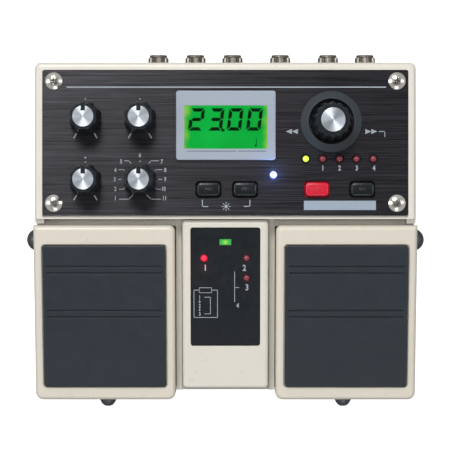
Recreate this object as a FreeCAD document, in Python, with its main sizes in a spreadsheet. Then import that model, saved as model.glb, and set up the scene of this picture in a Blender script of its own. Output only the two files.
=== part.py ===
import FreeCAD, Part
import os
import re

import Sketcher

# A delay effect with two foot pedals, in millimetres.
# +X is to the right, +Y is to the rear where the sockets are, +Z is up.
# The origin is on the surface that the rubber sheet rests on, in the middle of the plan.

SIZES = {
    # The layers under the housing, from the ground up.
    "sheet_thickness": 2.0,
    "sheet_inset": 1.5,
    "sheet_corner": 6.0,
    "base_thickness": 1.2,
    "base_inset": 0.5,
    "floor_thickness": 1.6,
    # The control box at the rear.
    "deck_depth": 70.7,
    "deck_front": 5.8,
    "deck_height": 40.0,
    "deck_wall": 2.5,
    "deck_corner": 2.8,
    "deck_edge": 2.2,
    "rim_side": 3.6,
    "rim_rear": 3.6,
    "rim_front": 1.55,
    "rim_groove": 0.95,
    "panel_thickness": 1.2,
    "panel_sink": 0.5,
    "panel_corner": 1.0,
    "panel_gap": 0.1,
    "ledge_width": 1.2,
    "ledge_thickness": 2.8,
    # The tray under the pedals.
    "tray_front_gap": 1.55,
    "tray_wall": 2.5,
    "tray_rear_rise": 5.0,
    "tray_front_sink": 9.0,
    "tray_flat": 12.0,
    "wall_gap": 0.8,
    "slot_depth": 10.0,
    "slot_floor": 2.0,
    "cross_wall": 2.0,
    "slot_reach": 2.0,
    "slot_lip": 1.2,
    "cheek_width": 4.0,
    "cheek_drop": 3.0,
    "spine_gap": 0.35,
    "spine_play": 0.35,
    "spine_drop": 7.5,
    # Screw posts in the housing.
    "post_radius": 4.2,
    "post_neck": 2.6,
    "post_web": 3.0,
    "post_inset_x": 8.6,
    "post_inset_rear": 8.45,
    "post_inset_front": 7.1,
    "front_post_radius": 2.6,
    "front_post_height": 5.0,
    "front_post_inset": 4.6,
    "front_post_near": 40.0,
    "front_post_far": 69.5,
    "thread_radius": 1.5,
    "screw_head_radius": 3.9,
    "screw_head_height": 1.5,
    "screw_head_rim": 0.25,
    "screw_recess_width": 0.7,
    "screw_recess_length": 3.2,
    "screw_recess_depth": 0.8,
    "panel_screw_length": 8.0,
    "base_head_radius": 2.8,
    "base_head_height": 1.5,
    "base_screw_length": 6.5,
    "screw_clearance": 0.2,
    # Circuit boards.
    "board_thickness": 1.6,
    "control_space": 6.7,
    "board_gap": 1.5,
    "board_play": 0.4,
    "bracket_length": 12.5,
    "bracket_width": 6.0,
    "bracket_thickness": 2.5,
    "bracket_front": 26.0,
    "bracket_rear": 40.0,
    "chip_height": 1.8,
    "chip_width": 14.0,
    "chip_inset": 17.6,
    "can_inset": 7.0,
    "can_radius": 3.2,
    "can_height": 9.0,
    # Pedals.
    "pedal_side_gap": 3.4,
    "pedal_rear_gap": 0.7,
    "pedal_overhang": 1.05,
    "pedal_length": 80.15,
    "pedal_height": 37.68,
    "pedal_drop": 12.68,
    "pedal_plate": 3.0,
    "pedal_skirt": 2.5,
    "pedal_skirt_depth": 19.0,
    "pedal_lip_depth": 5.0,
    "pedal_inner_depth": 15.0,
    "pedal_corner": 3.4,
    "pedal_rear_corner": 2.6,
    "pedal_notch": 1.6,
    "pedal_edge": 2.2,
    "pedal_travel": 3.9,
    # Hinges of the pedals.
    "hinge_back": 6.7,
    "hinge_depth": 11.68,
    "hinge_radius": 2.5,
    "hinge_play": 0.06,
    "dome_radius": 4.9,
    "dome_height": 3.55,
    "dome_gap": 0.3,
    # Rubber treads on the pedals.
    "tread_side_margin": 4.1,
    "tread_rear_margin": 9.35,
    "tread_front_margin": 6.3,
    "tread_corner": 1.6,
    "tread_thickness": 2.4,
    "tread_recess": 1.2,
    "tread_edge": 0.5,
    "recess_gap": 0.5,
    "groove_margin": 2.0,
    "groove_width": 0.9,
    "groove_depth": 0.7,
    "groove_first": 9.6,
    "groove_pair": 3.0,
    "groove_step": 20.3,
    # Springs and switches under the pedals.
    "spring_room": 6.1,
    "spring_wire": 0.45,
    "spring_side_gap": 0.3,
    "spring_in": 47.0,
    "spring_seat_height": 3.4,
    "foot_switch_in": 27.0,
    "foot_switch_gap": 0.35,
    "foot_switch_length": 8.0,
    "foot_switch_height": 9.2,
    "foot_slot_width": 3.6,
    "foot_slot_length": 5.4,
    "foot_slot_depth": 6.5,
    "foot_pin_radius": 1.2,
    "foot_pin_entry": 1.2,
    # Thumbscrews at the front.
    "thumb_out": 54.7,
    "thumb_height": 11.0,
    "thumb_head_radius": 3.9,
    "thumb_head_length": 3.65,
    "thumb_head_gap": 0.45,
    "thumb_neck_radius": 2.6,
    "thumb_thread_radius": 2.0,
    "thumb_thread_length": 5.0,
    "thumb_lug_radius": 4.4,
    "thumb_lug_length": 3.0,
    "thumb_play": 0.06,
    "thumb_slot_gap": 0.4,
    # Battery trays and cells.
    "cell_radius": 7.2,
    "cell_length": 49.2,
    "cell_nose_radius": 2.7,
    "cell_nose_length": 1.2,
    "cell_gap": 0.15,
    "holder_wall": 1.0,
    "holder_floor": 0.8,
    "holder_height": 9.0,
    "holder_inset": 0.6,
    "holder_front_gap": 5.0,
    "contact_length": 2.0,
    "contact_width": 6.0,
    # Cover between the pedals.
    "cover_width": 39.1,
    "cover_rear_gap": 0.3,
    "cover_front_slope": 1.4,
    "cover_front_gap": 0.1,
    "cover_wall": 2.0,
    "cover_top": 2.5,
    "cover_corner": 1.9,
    "cover_edge": 1.8,
    "cover_slot_gap": 0.4,
    "cover_post_radius": 3.0,
    "cover_post_front_in": 9.0,
    "cover_post_gap": 4.05,
    "label_width": 31.5,
    "label_length": 54.6,
    "label_rear_margin": 3.65,
    "label_thickness": 0.8,
    "label_recess": 1.3,
    "label_corner": 1.2,
    "label_gap": 0.1,
    "foot_board_depth": 8.4,
    "foot_board_thickness": 1.2,
    "foot_board_width": 28.0,
    "foot_board_length": 28.6,
    "foot_board_rear": 7.85,
    "foot_board_post_radius": 1.6,
    "foot_board_post_rear": 16.45,
    "foot_board_post_front": 30.45,
    # Lamps.
    "lamp_radius": 1.5,
    "lamp_flange_radius": 1.9,
    "lamp_flange_height": 1.0,
    "lamp_stand": 0.9,
    "lamp_clearance": 0.1,
    "lamp_first_x": 36.3,
    "lamp_step": 7.6,
    "lamp_y": 32.95,
    "blue_lamp_x": 21.7,
    "blue_lamp_y": 25.75,
    "foot_lamp_left_x": -9.7,
    "foot_lamp_right_x": 9.6,
    "foot_lamp_upper": 17.75,
    "foot_lamp_lower": 26.95,
    "power_lamp_width": 5.3,
    "power_lamp_length": 2.5,
    "power_lamp_along": 10.35,
    # Small knobs.
    "knob_left_margin": 19.3,
    "knob_right_margin": 16.3,
    "knob_rear_y": 51.35,
    "knob_front_y": 23.45,
    "knob_base_radius": 7.5,
    "knob_top_radius": 6.2,
    "knob_top": 14.0,
    "knob_gap": 0.6,
    "knob_base_waist": 6.75,
    "knob_top_waist": 5.65,
    "knob_scallop_reach": 12.75,
    "knob_pointer_width": 2.0,
    "knob_pointer_end": 2.4,
    "knob_bore_depth": 8.0,
    "cap_radius": 4.65,
    "cap_thickness": 0.6,
    "shaft_radius": 3.0,
    "shaft_play": 0.06,
    "shaft_foot": 1.2,
    "rotary_width": 10.0,
    "rotary_height": 6.2,
    "shaft_hole_gap": 0.6,
    # Time knob, which turns and can be pressed.
    "time_margin": 25.0,
    "time_y": 49.65,
    "time_base_radius": 9.2,
    "time_top_radius": 7.9,
    "time_top": 16.9,
    "time_gap": 1.4,
    "time_travel": 0.8,
    "time_base_waist": 8.5,
    "time_top_waist": 7.25,
    "time_flute_reach": 9.6,
    "time_cap_radius": 5.35,
    "time_cap_thickness": 0.6,
    "time_bore_depth": 10.0,
    "encoder_width": 12.0,
    "plunger_radius": 4.2,
    "plunger_thickness": 1.0,
    "plunger_gap": 0.4,
    "plunger_rest": 0.1,
    "encoder_floor": 1.0,
    "encoder_spare": 0.3,
    "ring_outer_radius": 13.8,
    "ring_inner_radius": 10.2,
    "ring_height": 3.6,
    "ring_edge": 0.8,
    "ring_land": 0.5,
    # Push buttons.
    "button_y": 19.2,
    "tap_x": -7.6,
    "tempo_x": 8.9,
    "store_margin": 18.6,
    "select_margin": 39.0,
    "button_width": 10.5,
    "button_length": 6.2,
    "button_stand": 2.1,
    "button_corner": 1.6,
    "button_edge": 0.8,
    "button_gap": 0.55,
    "button_flange": 1.0,
    "button_mark_length": 2.8,
    "button_mark_width": 0.6,
    "button_mark_height": 0.2,
    "button_flange_thickness": 0.9,
    "button_flange_gap": 0.3,
    "button_stem_radius": 1.4,
    "button_travel": 0.6,
    "tact_width": 6.0,
    "tact_height": 4.5,
    "tact_hole_depth": 3.4,
    "tact_entry": 2.2,
    "tact_play": 0.1,
    # Display.
    "display_x": 0.25,
    "display_y": 48.0,
    "display_width": 44.9,
    "display_length": 31.3,
    "display_stand": 1.2,
    "display_corner": 1.2,
    "display_edge": 0.4,
    "window_width": 37.5,
    "window_length": 19.5,
    "window_y": 47.2,
    "bezel_lip": 1.5,
    "bezel_wall": 1.0,
    "bezel_depth": 5.0,
    "bezel_play": 0.3,
    "lens_thickness": 1.0,
    "lens_depth": 0.6,
    "module_gap": 0.1,
    # Sockets on the rear wall.
    "row_left_margin": 21.05,
    "row_right_margin": 21.8,
    "jack_group_gap": 4.9,
    "jack_clear": 2.0,
    "jack_under": 8.4,
    "jack_width": 12.4,
    "jack_length": 22.0,
    "jack_top": 6.0,
    "plug_radius": 3.3,
    "plug_depth": 26.0,
    "collar_radius": 3.95,
    "collar_reach": 4.65,
    "washer_radius": 5.5,
    "washer_thickness": 0.8,
    "washer_play": 0.15,
    "nut_radius": 4.65,
    "nut_thickness": 2.8,
    "nut_edge": 0.45,
    "nut_knurl": 0.35,
    "wall_hole_gap": 0.15,
    "inlet_width": 9.0,
    "inlet_length": 13.0,
    "inlet_top": 5.5,
    "inlet_bore": 2.85,
    "inlet_bore_depth": 9.5,
    "inlet_pin": 1.0,
    "inlet_collar": 4.0,
    "slider_body_width": 12.0,
    "slider_body_length": 7.0,
    "slider_body_top": 4.0,
    "slider_width": 3.6,
    "slider_height": 3.0,
    "slider_travel": 3.5,
    "slider_reach": 1.1,
    "slider_entry": 3.0,
    "slider_gap": 0.3,
}

FITS = {
    "floor_bottom": "sheet_thickness + base_thickness",
    "floor_top": "floor_bottom + floor_thickness",
    "cover_half": "cover_width / 2",
    "pedal_inner": "cover_half + pedal_side_gap",
    "tray_inside": "pedal_inner + pedal_skirt + wall_gap",
    "cell_pitch": "2 * cell_radius + cell_gap",
    "holder_near": "tray_inside + tray_wall + holder_inset",
    "holder_far": "holder_near + 2 * holder_wall + 3 * cell_pitch + cell_gap",
    "spring_out": "holder_far + spring_room / 2",
    "spring_radius": "spring_room / 2 - spring_wire - spring_side_gap",
    "spring_seat_radius": "spring_radius + spring_wire",
    "foot_switch_width": "spring_room - 2 * foot_switch_gap",
    "tray_half": "holder_far + spring_room + tray_wall",
    "pedal_outer": "tray_half + wall_gap + pedal_skirt",
    "deck_half": "pedal_outer - pedal_overhang",
    "deck_rear": "deck_front + deck_depth",
    "deck_back": "deck_rear - deck_wall",
    "panel_top": "deck_height - panel_sink",
    "panel_under": "panel_top - panel_thickness",
    "panel_half": "deck_half - rim_side",
    "panel_rear": "deck_rear - rim_rear",
    "panel_front": "deck_front + rim_front",
    "post_x": "deck_half - post_inset_x",
    "post_rear": "deck_rear - post_inset_rear",
    "post_front": "deck_front + post_inset_front",
    "control_top": "panel_under - control_space",
    "control_under": "control_top - board_thickness",
    "jack_height": "control_under - jack_clear - jack_top",
    "main_top": "jack_height - jack_under",
    "main_height": "main_top - board_thickness",
    "jack_pitch": "(2 * deck_half - row_left_margin - row_right_margin - 2 * jack_group_gap) / 7",
    "inlet_x": "row_left_margin - deck_half",
    "slider_x": "inlet_x + jack_pitch",
    "jack_x_1": "slider_x + jack_pitch",
    "jack_x_2": "jack_x_1 + jack_pitch",
    "jack_x_3": "jack_x_2 + jack_pitch",
    "jack_x_4": "jack_x_3 + jack_pitch + jack_group_gap",
    "jack_x_5": "jack_x_4 + jack_pitch + jack_group_gap",
    "jack_x_6": "jack_x_5 + jack_pitch",
    "knob_left_x": "knob_left_margin - panel_half",
    "knob_right_x": "display_x - display_width / 2 - knob_right_margin",
    "time_x": "display_x + display_width / 2 + time_margin",
    "store_x": "display_x + display_width / 2 + store_margin",
    "select_x": "display_x + display_width / 2 + select_margin",
    "slope": "pedal_drop / pedal_length",
    "pedal_under": "pedal_plate * sqrt(1 + slope^2)",
    "tilt": "atan(pedal_drop / pedal_length)",
    "cross_front": "deck_front - slot_reach",
    "pedal_rear": "cross_front - pedal_rear_gap",
    "pedal_front": "pedal_rear - pedal_length",
    "pedal_middle": "(pedal_outer + pedal_inner) / 2",
    "pedal_run": "sqrt(pedal_length^2 + pedal_drop^2)",
    "tread_width": "pedal_outer - pedal_inner - 2 * tread_side_margin",
    "tread_length": "pedal_run - tread_rear_margin - tread_front_margin",
    "tray_front": "pedal_front + pedal_skirt + tray_front_gap",
    "tray_rear_height": "hinge_z + tray_rear_rise",
    "tray_front_height": "pedal_height - pedal_drop - tray_front_sink",
    "spine_in": "cover_half + spine_gap",
    "spine_out": "pedal_inner - spine_play",
    "slot_bottom": "deck_height - slot_depth",
    "hinge_y": "pedal_rear - hinge_back",
    "hinge_z": "pedal_height - hinge_depth",
    "dome_sphere": "(dome_radius^2 + dome_height^2) / (2 * dome_height)",
    "screw_dome": "screw_head_height - screw_head_rim",
    "screw_sphere": "(screw_head_radius^2 + screw_dome^2) / (2 * screw_dome)",
    "front_post_y": "tray_front + front_post_inset",
    "thumb_head_y": "pedal_front - thumb_head_gap",
    "thumb_neck_end": "thumb_head_length + tray_front - thumb_head_y",
    "spring_top": "pedal_height - (pedal_rear - spring_y) * slope - pedal_under - spring_seat_height",
    "spring_space": "spring_top - floor_top",
    "spring_y": "pedal_front + spring_in",
    "foot_switch_y": "pedal_front + foot_switch_in",
    "cover_post_front": "tray_front + cover_post_front_in",
    "cover_post_rear": "cover_rear - foot_board_rear - foot_board_length - cover_post_gap - cover_post_radius",
    "holder_front": "tray_front + tray_wall + holder_front_gap",
    "cell_front": "holder_front + holder_wall + contact_length",
    "holder_rear": "cell_front + cell_length + cell_nose_length + contact_length + holder_wall",
    "cell_z": "floor_top + holder_floor + cell_radius",
    "cover_rear": "deck_front - cover_rear_gap",
    "cover_front": "tray_front + cover_front_gap",
    "foot_board_top": "lamp_stand - label_recess + label_thickness - lamp_length",
    "lamp_length": "panel_top + lamp_stand - control_top",
    "knob_under": "panel_top + knob_gap",
    "knob_upper": "panel_top + knob_top",
    "shaft_low": "control_top + shaft_foot",
    "time_under": "panel_top + time_gap",
    "time_upper": "panel_top + time_top",
    "plunger_low": "control_top + encoder_floor + encoder_spare + time_travel",
    "plunger_high": "plunger_low + plunger_thickness",
    "button_top": "panel_top + button_stand",
    "flange_top": "panel_under - button_flange_gap",
    "tact_top": "control_top + tact_height",
    "display_top": "panel_top + display_stand",
    "lens_top": "display_top - lens_depth",
    "lens_low": "lens_top - lens_thickness",
    "collar_end": "deck_rear + collar_reach",
    "slider_z": "jack_height",
}

HOLDER = {name: "Sizes" for name in SIZES}
HOLDER.update({name: "Fits" for name in FITS})
WORD = re.compile(r"[a-z][a-z0-9_]*")

X_AXIS = FreeCAD.Vector(1, 0, 0)
Y_AXIS = FreeCAD.Vector(0, 1, 0)
Z_AXIS = FreeCAD.Vector(0, 0, 1)
FACING = {
    "up": FreeCAD.Rotation(Z_AXIS, 0),
    "rear": FreeCAD.Rotation(X_AXIS, -90),
    "front": FreeCAD.Rotation(X_AXIS, 90),
    "right": FreeCAD.Rotation(Y_AXIS, 90),
    "left": FreeCAD.Rotation(Y_AXIS, -90),
}
SIDES = {"left": -1, "right": 1}
FAR = 5.0  # how far a cutting tool runs past what it cuts

doc = FreeCAD.newDocument("delay_pedal")
nodes = []


def formula(text):
    """The text with each size's name joined to the sheet that holds it."""

    def held(match):
        word = match.group(0)
        return HOLDER[word] + "." + word if word in HOLDER else word

    return WORD.sub(held, str(text))


def bind(thing, path, text):
    thing.setExpression(path, formula(text))


def fill_sheets():
    sizes = doc.addObject("Spreadsheet::Sheet", "Sizes")
    for row, (name, value) in enumerate(SIZES.items(), 1):
        sizes.set(f"A{row}", name)
        sizes.set(f"B{row}", str(value))
        sizes.setAlias(f"B{row}", name)
    fits = doc.addObject("Spreadsheet::Sheet", "Fits")
    for row, name in enumerate(FITS, 1):
        fits.set(f"A{row}", name)
        fits.setAlias(f"B{row}", name)
    for row, text in enumerate(FITS.values(), 1):
        fits.set(f"B{row}", "=" + formula(text).replace("Fits.", ""))
    doc.recompute()


def off(side, distance):
    """A distance from the middle plane, towards the side that the sign names."""
    return f"({distance})" if side > 0 else f"-({distance})"


def span(side, near, far):
    """The low and high X of a stretch between two distances from the middle plane."""
    return (near, far) if side > 0 else (f"-({far})", f"-({near})")


def about(middle, width):
    """The low and high limits of a width about a middle."""
    return f"({middle}) - ({width}) / 2", f"({middle}) + ({width}) / 2"


def pedal_line(y):
    """The height of the sloping top of the pedals at a distance from front to rear."""
    return f"pedal_height - (pedal_rear - ({y})) * slope"


def move(piece, x="0", y="0", z="0", facing="up"):
    piece.Placement = FreeCAD.Placement(FreeCAD.Vector(), FACING[facing])
    for place, text in (("x", x), ("y", y), ("z", z)):
        bind(piece, "Placement.Base." + place, text)
    return piece


def lean(piece, rear="pedal_rear"):
    """Tilt a piece made flat, with its own origin on the pedals' sloping top, at their rear edge or another Y."""
    piece.Placement = FreeCAD.Placement(FreeCAD.Vector(), FreeCAD.Rotation(X_AXIS, 1))
    bind(piece, "Placement.Rotation.Angle", "tilt")
    bind(piece, "Placement.Base.y", rear)
    bind(piece, "Placement.Base.z", pedal_line(rear))
    return piece


def block(name, x, y, z):
    """A box between a low and a high limit on each axis."""
    piece = doc.addObject("Part::Box", name)
    for size, place, (low, high) in (("Length", "x", x), ("Width", "y", y), ("Height", "z", z)):
        bind(piece, size, f"({high}) - ({low})")
        bind(piece, "Placement.Base." + place, low)
    return piece


def rod(name, radius, length, x="0", y="0", z="0", facing="up"):
    piece = doc.addObject("Part::Cylinder", name)
    bind(piece, "Radius", radius)
    bind(piece, "Height", length)
    return move(piece, x, y, z, facing)


def join(name, pieces):
    piece = doc.addObject("Part::MultiFuse", name)
    piece.Shapes = pieces
    return piece


def carve(name, base, tools):
    piece = doc.addObject("Part::Cut", name)
    piece.Base = base
    piece.Tool = tools[0] if len(tools) == 1 else join(name + "_tools", tools)
    return piece


def bundle(name, pieces):
    """Several solids that stay apart, as one object."""
    piece = doc.addObject("Part::Compound", name)
    piece.Links = pieces
    return piece


def copy_at(name, master, x="0", y="0", z="0", facing="up"):
    return move(bundle(name, [master]), x, y, z, facing)


def keep(name, piece):
    piece.Label = name
    nodes.append(piece)
    return piece


def origin_plane(body, role):
    return next(plane for plane in body.Origin.OriginFeatures if plane.Role == role)


def outline(body, role, points, offset=None):
    """A closed sketch of straight lines, each corner tied to two formulas."""
    sketch = body.newObject("Sketcher::SketchObject", body.Name + "_sketch")
    sketch.AttachmentSupport = [(origin_plane(body, role), "")]
    sketch.MapMode = "FlatFace"
    count = len(points)
    starts = [FreeCAD.Rotation(Z_AXIS, 360.0 * step / count).multVec(X_AXIS) for step in range(count)]
    for step in range(count):
        sketch.addGeometry(Part.LineSegment(starts[step], starts[(step + 1) % count]), False)
    for step in range(count):
        sketch.addConstraint(Sketcher.Constraint("Coincident", step, 2, (step + 1) % count, 1))
    for step, place in enumerate(points):
        for direction, text in zip(("DistanceX", "DistanceY"), place):
            index = sketch.addConstraint(Sketcher.Constraint(direction, -1, 1, step, 1, 1.0))
            bind(sketch, f"Constraints[{index}]", text)
    if offset is not None:
        bind(sketch, "AttachmentOffset.Base.z", offset)
    return sketch


def padded(name, role, points, low, high):
    body = doc.addObject("PartDesign::Body", name)
    sketch = outline(body, role, points, low)
    pad = body.newObject("PartDesign::Pad", name + "_pad")
    pad.Profile = sketch
    bind(pad, "Length", f"({high}) - ({low})")
    doc.recompute()
    return body


def plate(name, x, y, z, corner=None):
    """A flat piece with rounded corners in plan."""
    points = [(x[0], y[0]), (x[1], y[0]), (x[1], y[1]), (x[0], y[1])]
    body = padded(name, "XY_Plane", points, z[0], z[1])
    if corner is not None:
        soften(body, corner, is_upright)
    return body


def slab(name, x, points):
    """A side view in Y and Z, as thick as the stretch of X."""
    return padded(name, "YZ_Plane", points, x[0], x[1])


def turned(name, points):
    """A piece turned about its own Z axis from a half section."""
    body = doc.addObject("PartDesign::Body", name)
    sketch = outline(body, "XZ_Plane", points)
    turn = body.newObject("PartDesign::Revolution", name + "_turn")
    turn.Profile = sketch
    turn.ReferenceAxis = (sketch, ["V_Axis"])
    turn.Angle = 360
    doc.recompute()
    return body


def soften(body, radius, wanted):
    """Round the edges that a test picks."""
    doc.recompute()
    feature = body.Tip
    names = [f"Edge{step}" for step, edge in enumerate(feature.Shape.Edges, 1) if wanted(edge)]
    fillet = body.newObject("PartDesign::Fillet", body.Name + "_round")
    fillet.Base = (feature, names)
    bind(fillet, "Radius", radius)
    doc.recompute()
    return body


def is_upright(edge):
    """A test for the edges that rise, straight or nearly so."""
    return all(abs(edge.tangentAt(place).z) > 0.98 for place in (edge.FirstParameter, edge.LastParameter))


def faces_up(face):
    low_u, high_u, low_v, high_v = face.ParameterRange
    return face.normalAt((low_u + high_u) / 2, (low_v + high_v) / 2).z > 0.5


def on_top(body):
    """A test for the edges all round the highest face that looks up."""
    faces = [face for face in body.Tip.Shape.Faces if faces_up(face)]
    marks = [edge.CenterOfMass for edge in max(faces, key=lambda each: each.CenterOfMass.z).Edges]
    return lambda edge: any(edge.CenterOfMass.distanceToPoint(mark) < 1e-6 for mark in marks)


def on_top_behind(body):
    """The same test without the front edge."""
    on_edge = on_top(body)
    front = body.Tip.Shape.BoundBox.YMin
    return lambda edge: on_edge(edge) and edge.CenterOfMass.y > front + 0.01


def in_front(body):
    """A test for the rising edges of the front half of a piece."""
    middle = body.Tip.Shape.BoundBox.Center.y
    return lambda edge: is_upright(edge) and edge.CenterOfMass.y < middle


def behind(body):
    """A test for the rising edges of the rear half of a piece."""
    middle = body.Tip.Shape.BoundBox.Center.y
    return lambda edge: is_upright(edge) and edge.CenterOfMass.y > middle


def at_ends(body):
    """A test for the rising edges within 1 mm of the front and rear ends of a piece."""
    box = body.Tip.Shape.BoundBox
    return lambda edge: is_upright(edge) and min(edge.CenterOfMass.y - box.YMin, box.YMax - edge.CenterOfMass.y) < 1


def behind_inside(body):
    """A test for the rising edge of the rear half that is nearer to the middle of the part."""
    at_rear = behind(body)
    middle = abs(body.Tip.Shape.BoundBox.Center.x)
    return lambda edge: at_rear(edge) and abs(edge.CenterOfMass.x) < middle


def ring(name, inner, outer, low, high):
    return turned(name, [(inner, low), (outer, low), (outer, high), (inner, high)])


def chassis():
    """The cast housing: the control box at the rear and the tray under the pedals."""
    box = plate(
        "deck_box",
        ("-deck_half", "deck_half"),
        ("deck_front", "deck_rear"),
        ("floor_bottom", "deck_height"),
    )
    soften(box, "deck_corner", behind(box))
    soften(box, "deck_edge", on_top_behind(box))
    recess = plate(
        "panel_recess",
        ("-panel_half - panel_gap", "panel_half + panel_gap"),
        ("panel_front - rim_groove", "panel_rear + panel_gap"),
        ("panel_under", f"deck_height + {FAR}"),
        "panel_corner",
    )
    ledge = block(
        "ledge_opening",
        ("-panel_half + ledge_width", "panel_half - ledge_width"),
        ("panel_front + ledge_width", "panel_rear - ledge_width"),
        ("panel_under - ledge_thickness", f"deck_height + {FAR}"),
    )
    cavity = block(
        "deck_cavity",
        ("-deck_half + deck_wall", "deck_half - deck_wall"),
        ("deck_front + deck_wall", "deck_back"),
        (f"floor_bottom - {FAR}", "panel_under - ledge_thickness"),
    )
    parts = [carve("deck_shell", box, [recess, ledge, cavity])]
    parts += deck_posts() + board_brackets() + tray_parts()
    body = join("chassis_solid", parts)
    holes = jack_holes() + socket_holes() + chassis_threads() + hinge_holes() + thumb_holes()
    keep("chassis", carve("chassis_cut", body, holes))


def corners():
    """The four places of the screws in the control box."""
    return [(off(side, "post_x"), y) for side in SIDES.values() for y in ("post_front", "post_rear")]


def deck_posts():
    posts = []
    for step, (x, y) in enumerate(corners()):
        posts.append(rod(f"post_{step}", "post_radius", "control_under - floor_bottom", x, y, "floor_bottom"))
        posts.append(rod(f"post_neck_{step}", "post_neck", "panel_under - floor_bottom", x, y, "floor_bottom"))
    for side in SIDES.values():
        for name in ("post_front", "post_rear"):
            posts.append(
                block(
                    f"{name}_web_{side + 1}",
                    span(side, "post_x", "deck_half - deck_wall / 2"),
                    about(name, "post_web"),
                    ("floor_bottom", "control_under"),
                )
            )
    return posts


def board_brackets():
    """Ledges on the side walls that carry the main board."""
    brackets = []
    for side in SIDES.values():
        for name, y in (("front", "bracket_front"), ("rear", "bracket_rear")):
            brackets.append(
                block(
                    f"bracket_{name}_{side}",
                    span(side, "deck_half - deck_wall - bracket_length", "deck_half - deck_wall / 2"),
                    about(y, "bracket_width"),
                    ("main_height - bracket_thickness", "main_height"),
                )
            )
    return brackets


def tray_parts():
    parts = [
        block(
            "tray_floor",
            ("-tray_half", "tray_half"),
            ("tray_front", "deck_front + deck_wall"),
            ("floor_bottom", "floor_top"),
        ),
        block(
            "spine_front_wall",
            ("-spine_out", "spine_out"),
            ("tray_front", "tray_front + tray_wall"),
            ("floor_bottom", "tray_front_height"),
        ),
        block(
            "cross_wall",
            ("-tray_half", "tray_half"),
            ("cross_front", "cross_front + cross_wall"),
            ("floor_bottom", "slot_bottom"),
        ),
        block(
            "slot_floor",
            ("-deck_half", "deck_half"),
            ("cross_front", "deck_front + deck_wall"),
            ("slot_bottom - slot_floor", "slot_bottom"),
        ),
    ]
    profile = [
        ("tray_front", "floor_bottom"),
        ("cross_front + cross_wall", "floor_bottom"),
        ("cross_front + cross_wall", "slot_bottom"),
        ("cross_front - slot_lip", "slot_bottom"),
        ("cross_front - 2 * slot_lip", "tray_rear_height"),
        ("cross_front - tray_flat", "tray_rear_height"),
        ("tray_front", "tray_front_height"),
    ]
    spine = [
        ("tray_front", "floor_bottom"),
        ("deck_front + deck_wall / 2", "floor_bottom"),
        ("deck_front + deck_wall / 2", f"{pedal_line('deck_front + deck_wall / 2')} - spine_drop"),
        ("tray_front", f"{pedal_line('tray_front')} - spine_drop"),
    ]
    for side in SIDES.values():
        parts.append(slab(f"spine_{side + 1}", span(side, "spine_in", "spine_out"), spine))
        parts.append(
            block(
                f"slot_lip_{side + 1}",
                span(side, "spine_in", "deck_half"),
                ("cross_front - slot_lip", "cross_front + cross_wall"),
                ("slot_bottom - slot_floor", "slot_bottom"),
            )
        )
        parts.append(
            block(
                f"front_wall_{side + 1}",
                span(side, "tray_inside", "tray_half"),
                ("tray_front", "tray_front + tray_wall"),
                ("floor_bottom", "tray_front_height"),
            )
        )
        parts.append(slab(f"outer_wall_{side + 1}", span(side, "tray_half - tray_wall", "tray_half"), profile))
        parts.append(slab(f"inner_wall_{side + 1}", span(side, "tray_inside", "tray_inside + tray_wall"), profile))
        parts.append(
            block(
                f"cheek_{side + 1}",
                span(side, "deck_half - cheek_width", "deck_half"),
                ("cross_front", "deck_front + deck_wall"),
                ("floor_bottom", "deck_height - cheek_drop"),
            )
        )
        parts.append(
            rod(
                f"thumb_lug_{side + 1}",
                "thumb_lug_radius",
                "tray_wall + thumb_lug_length",
                off(side, "thumb_out"),
                "tray_front",
                "thumb_height",
                "rear",
            )
        )
        for name in ("front_post_near", "front_post_far"):
            parts.append(
                rod(
                    f"{name}_{side + 1}",
                    "front_post_radius",
                    "floor_thickness + front_post_height",
                    off(side, name),
                    "front_post_y",
                    "floor_bottom",
                )
            )
    return parts


def base_screw_places():
    places = corners()
    for side in SIDES.values():
        places += [(off(side, "front_post_near"), "front_post_y"), (off(side, "front_post_far"), "front_post_y")]
    return places + [("0", "cover_post_front"), ("0", "cover_post_rear")]


def jack_places():
    return [f"jack_x_{number}" for number in range(1, 7)]


def jack_holes():
    return [
        rod(
            f"hole_{x}",
            "collar_radius + wall_hole_gap",
            f"deck_wall + {2 * FAR}",
            x,
            f"deck_back - {FAR}",
            "jack_height",
            "rear",
        )
        for x in jack_places()
    ]


def socket_holes():
    """The holes for the power inlet and the slide switch."""
    inlet = rod(
        "inlet_hole",
        "inlet_collar + wall_hole_gap",
        f"deck_wall + {2 * FAR}",
        "inlet_x",
        f"deck_back - {FAR}",
        "jack_height",
        "rear",
    )
    slot = block(
        "slider_slot",
        ("slider_x - slider_width / 2 - slider_travel - slider_gap", "slider_x + slider_width / 2 + slider_gap"),
        (f"deck_back - {FAR}", f"deck_rear + {FAR}"),
        about("slider_z", "slider_height + 2 * slider_gap"),
    )
    return [inlet, slot]


def chassis_threads():
    holes = []
    for step, (x, y) in enumerate(corners()):
        holes.append(
            rod(f"panel_thread_{step}", "thread_radius", "panel_screw_length", x, y, "panel_top - panel_screw_length")
        )
    for step, (x, y) in enumerate(base_screw_places()):
        holes.append(rod(f"base_thread_{step}", "thread_radius", "base_screw_length", x, y, "sheet_thickness"))
    return holes


def hinge_holes():
    return [
        rod(
            f"hinge_hole_{side + 1}",
            "hinge_radius",
            "tray_half - tray_inside",
            off(side, "tray_inside"),
            "hinge_y",
            "hinge_z",
            name,
        )
        for name, side in SIDES.items()
    ]


def thumb_holes():
    return [
        rod(
            f"thumb_hole_{side + 1}",
            "thumb_thread_radius + thumb_play",
            "tray_wall + thumb_lug_length",
            off(side, "thumb_out"),
            "tray_front",
            "thumb_height",
            "rear",
        )
        for side in SIDES.values()
    ]


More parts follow.
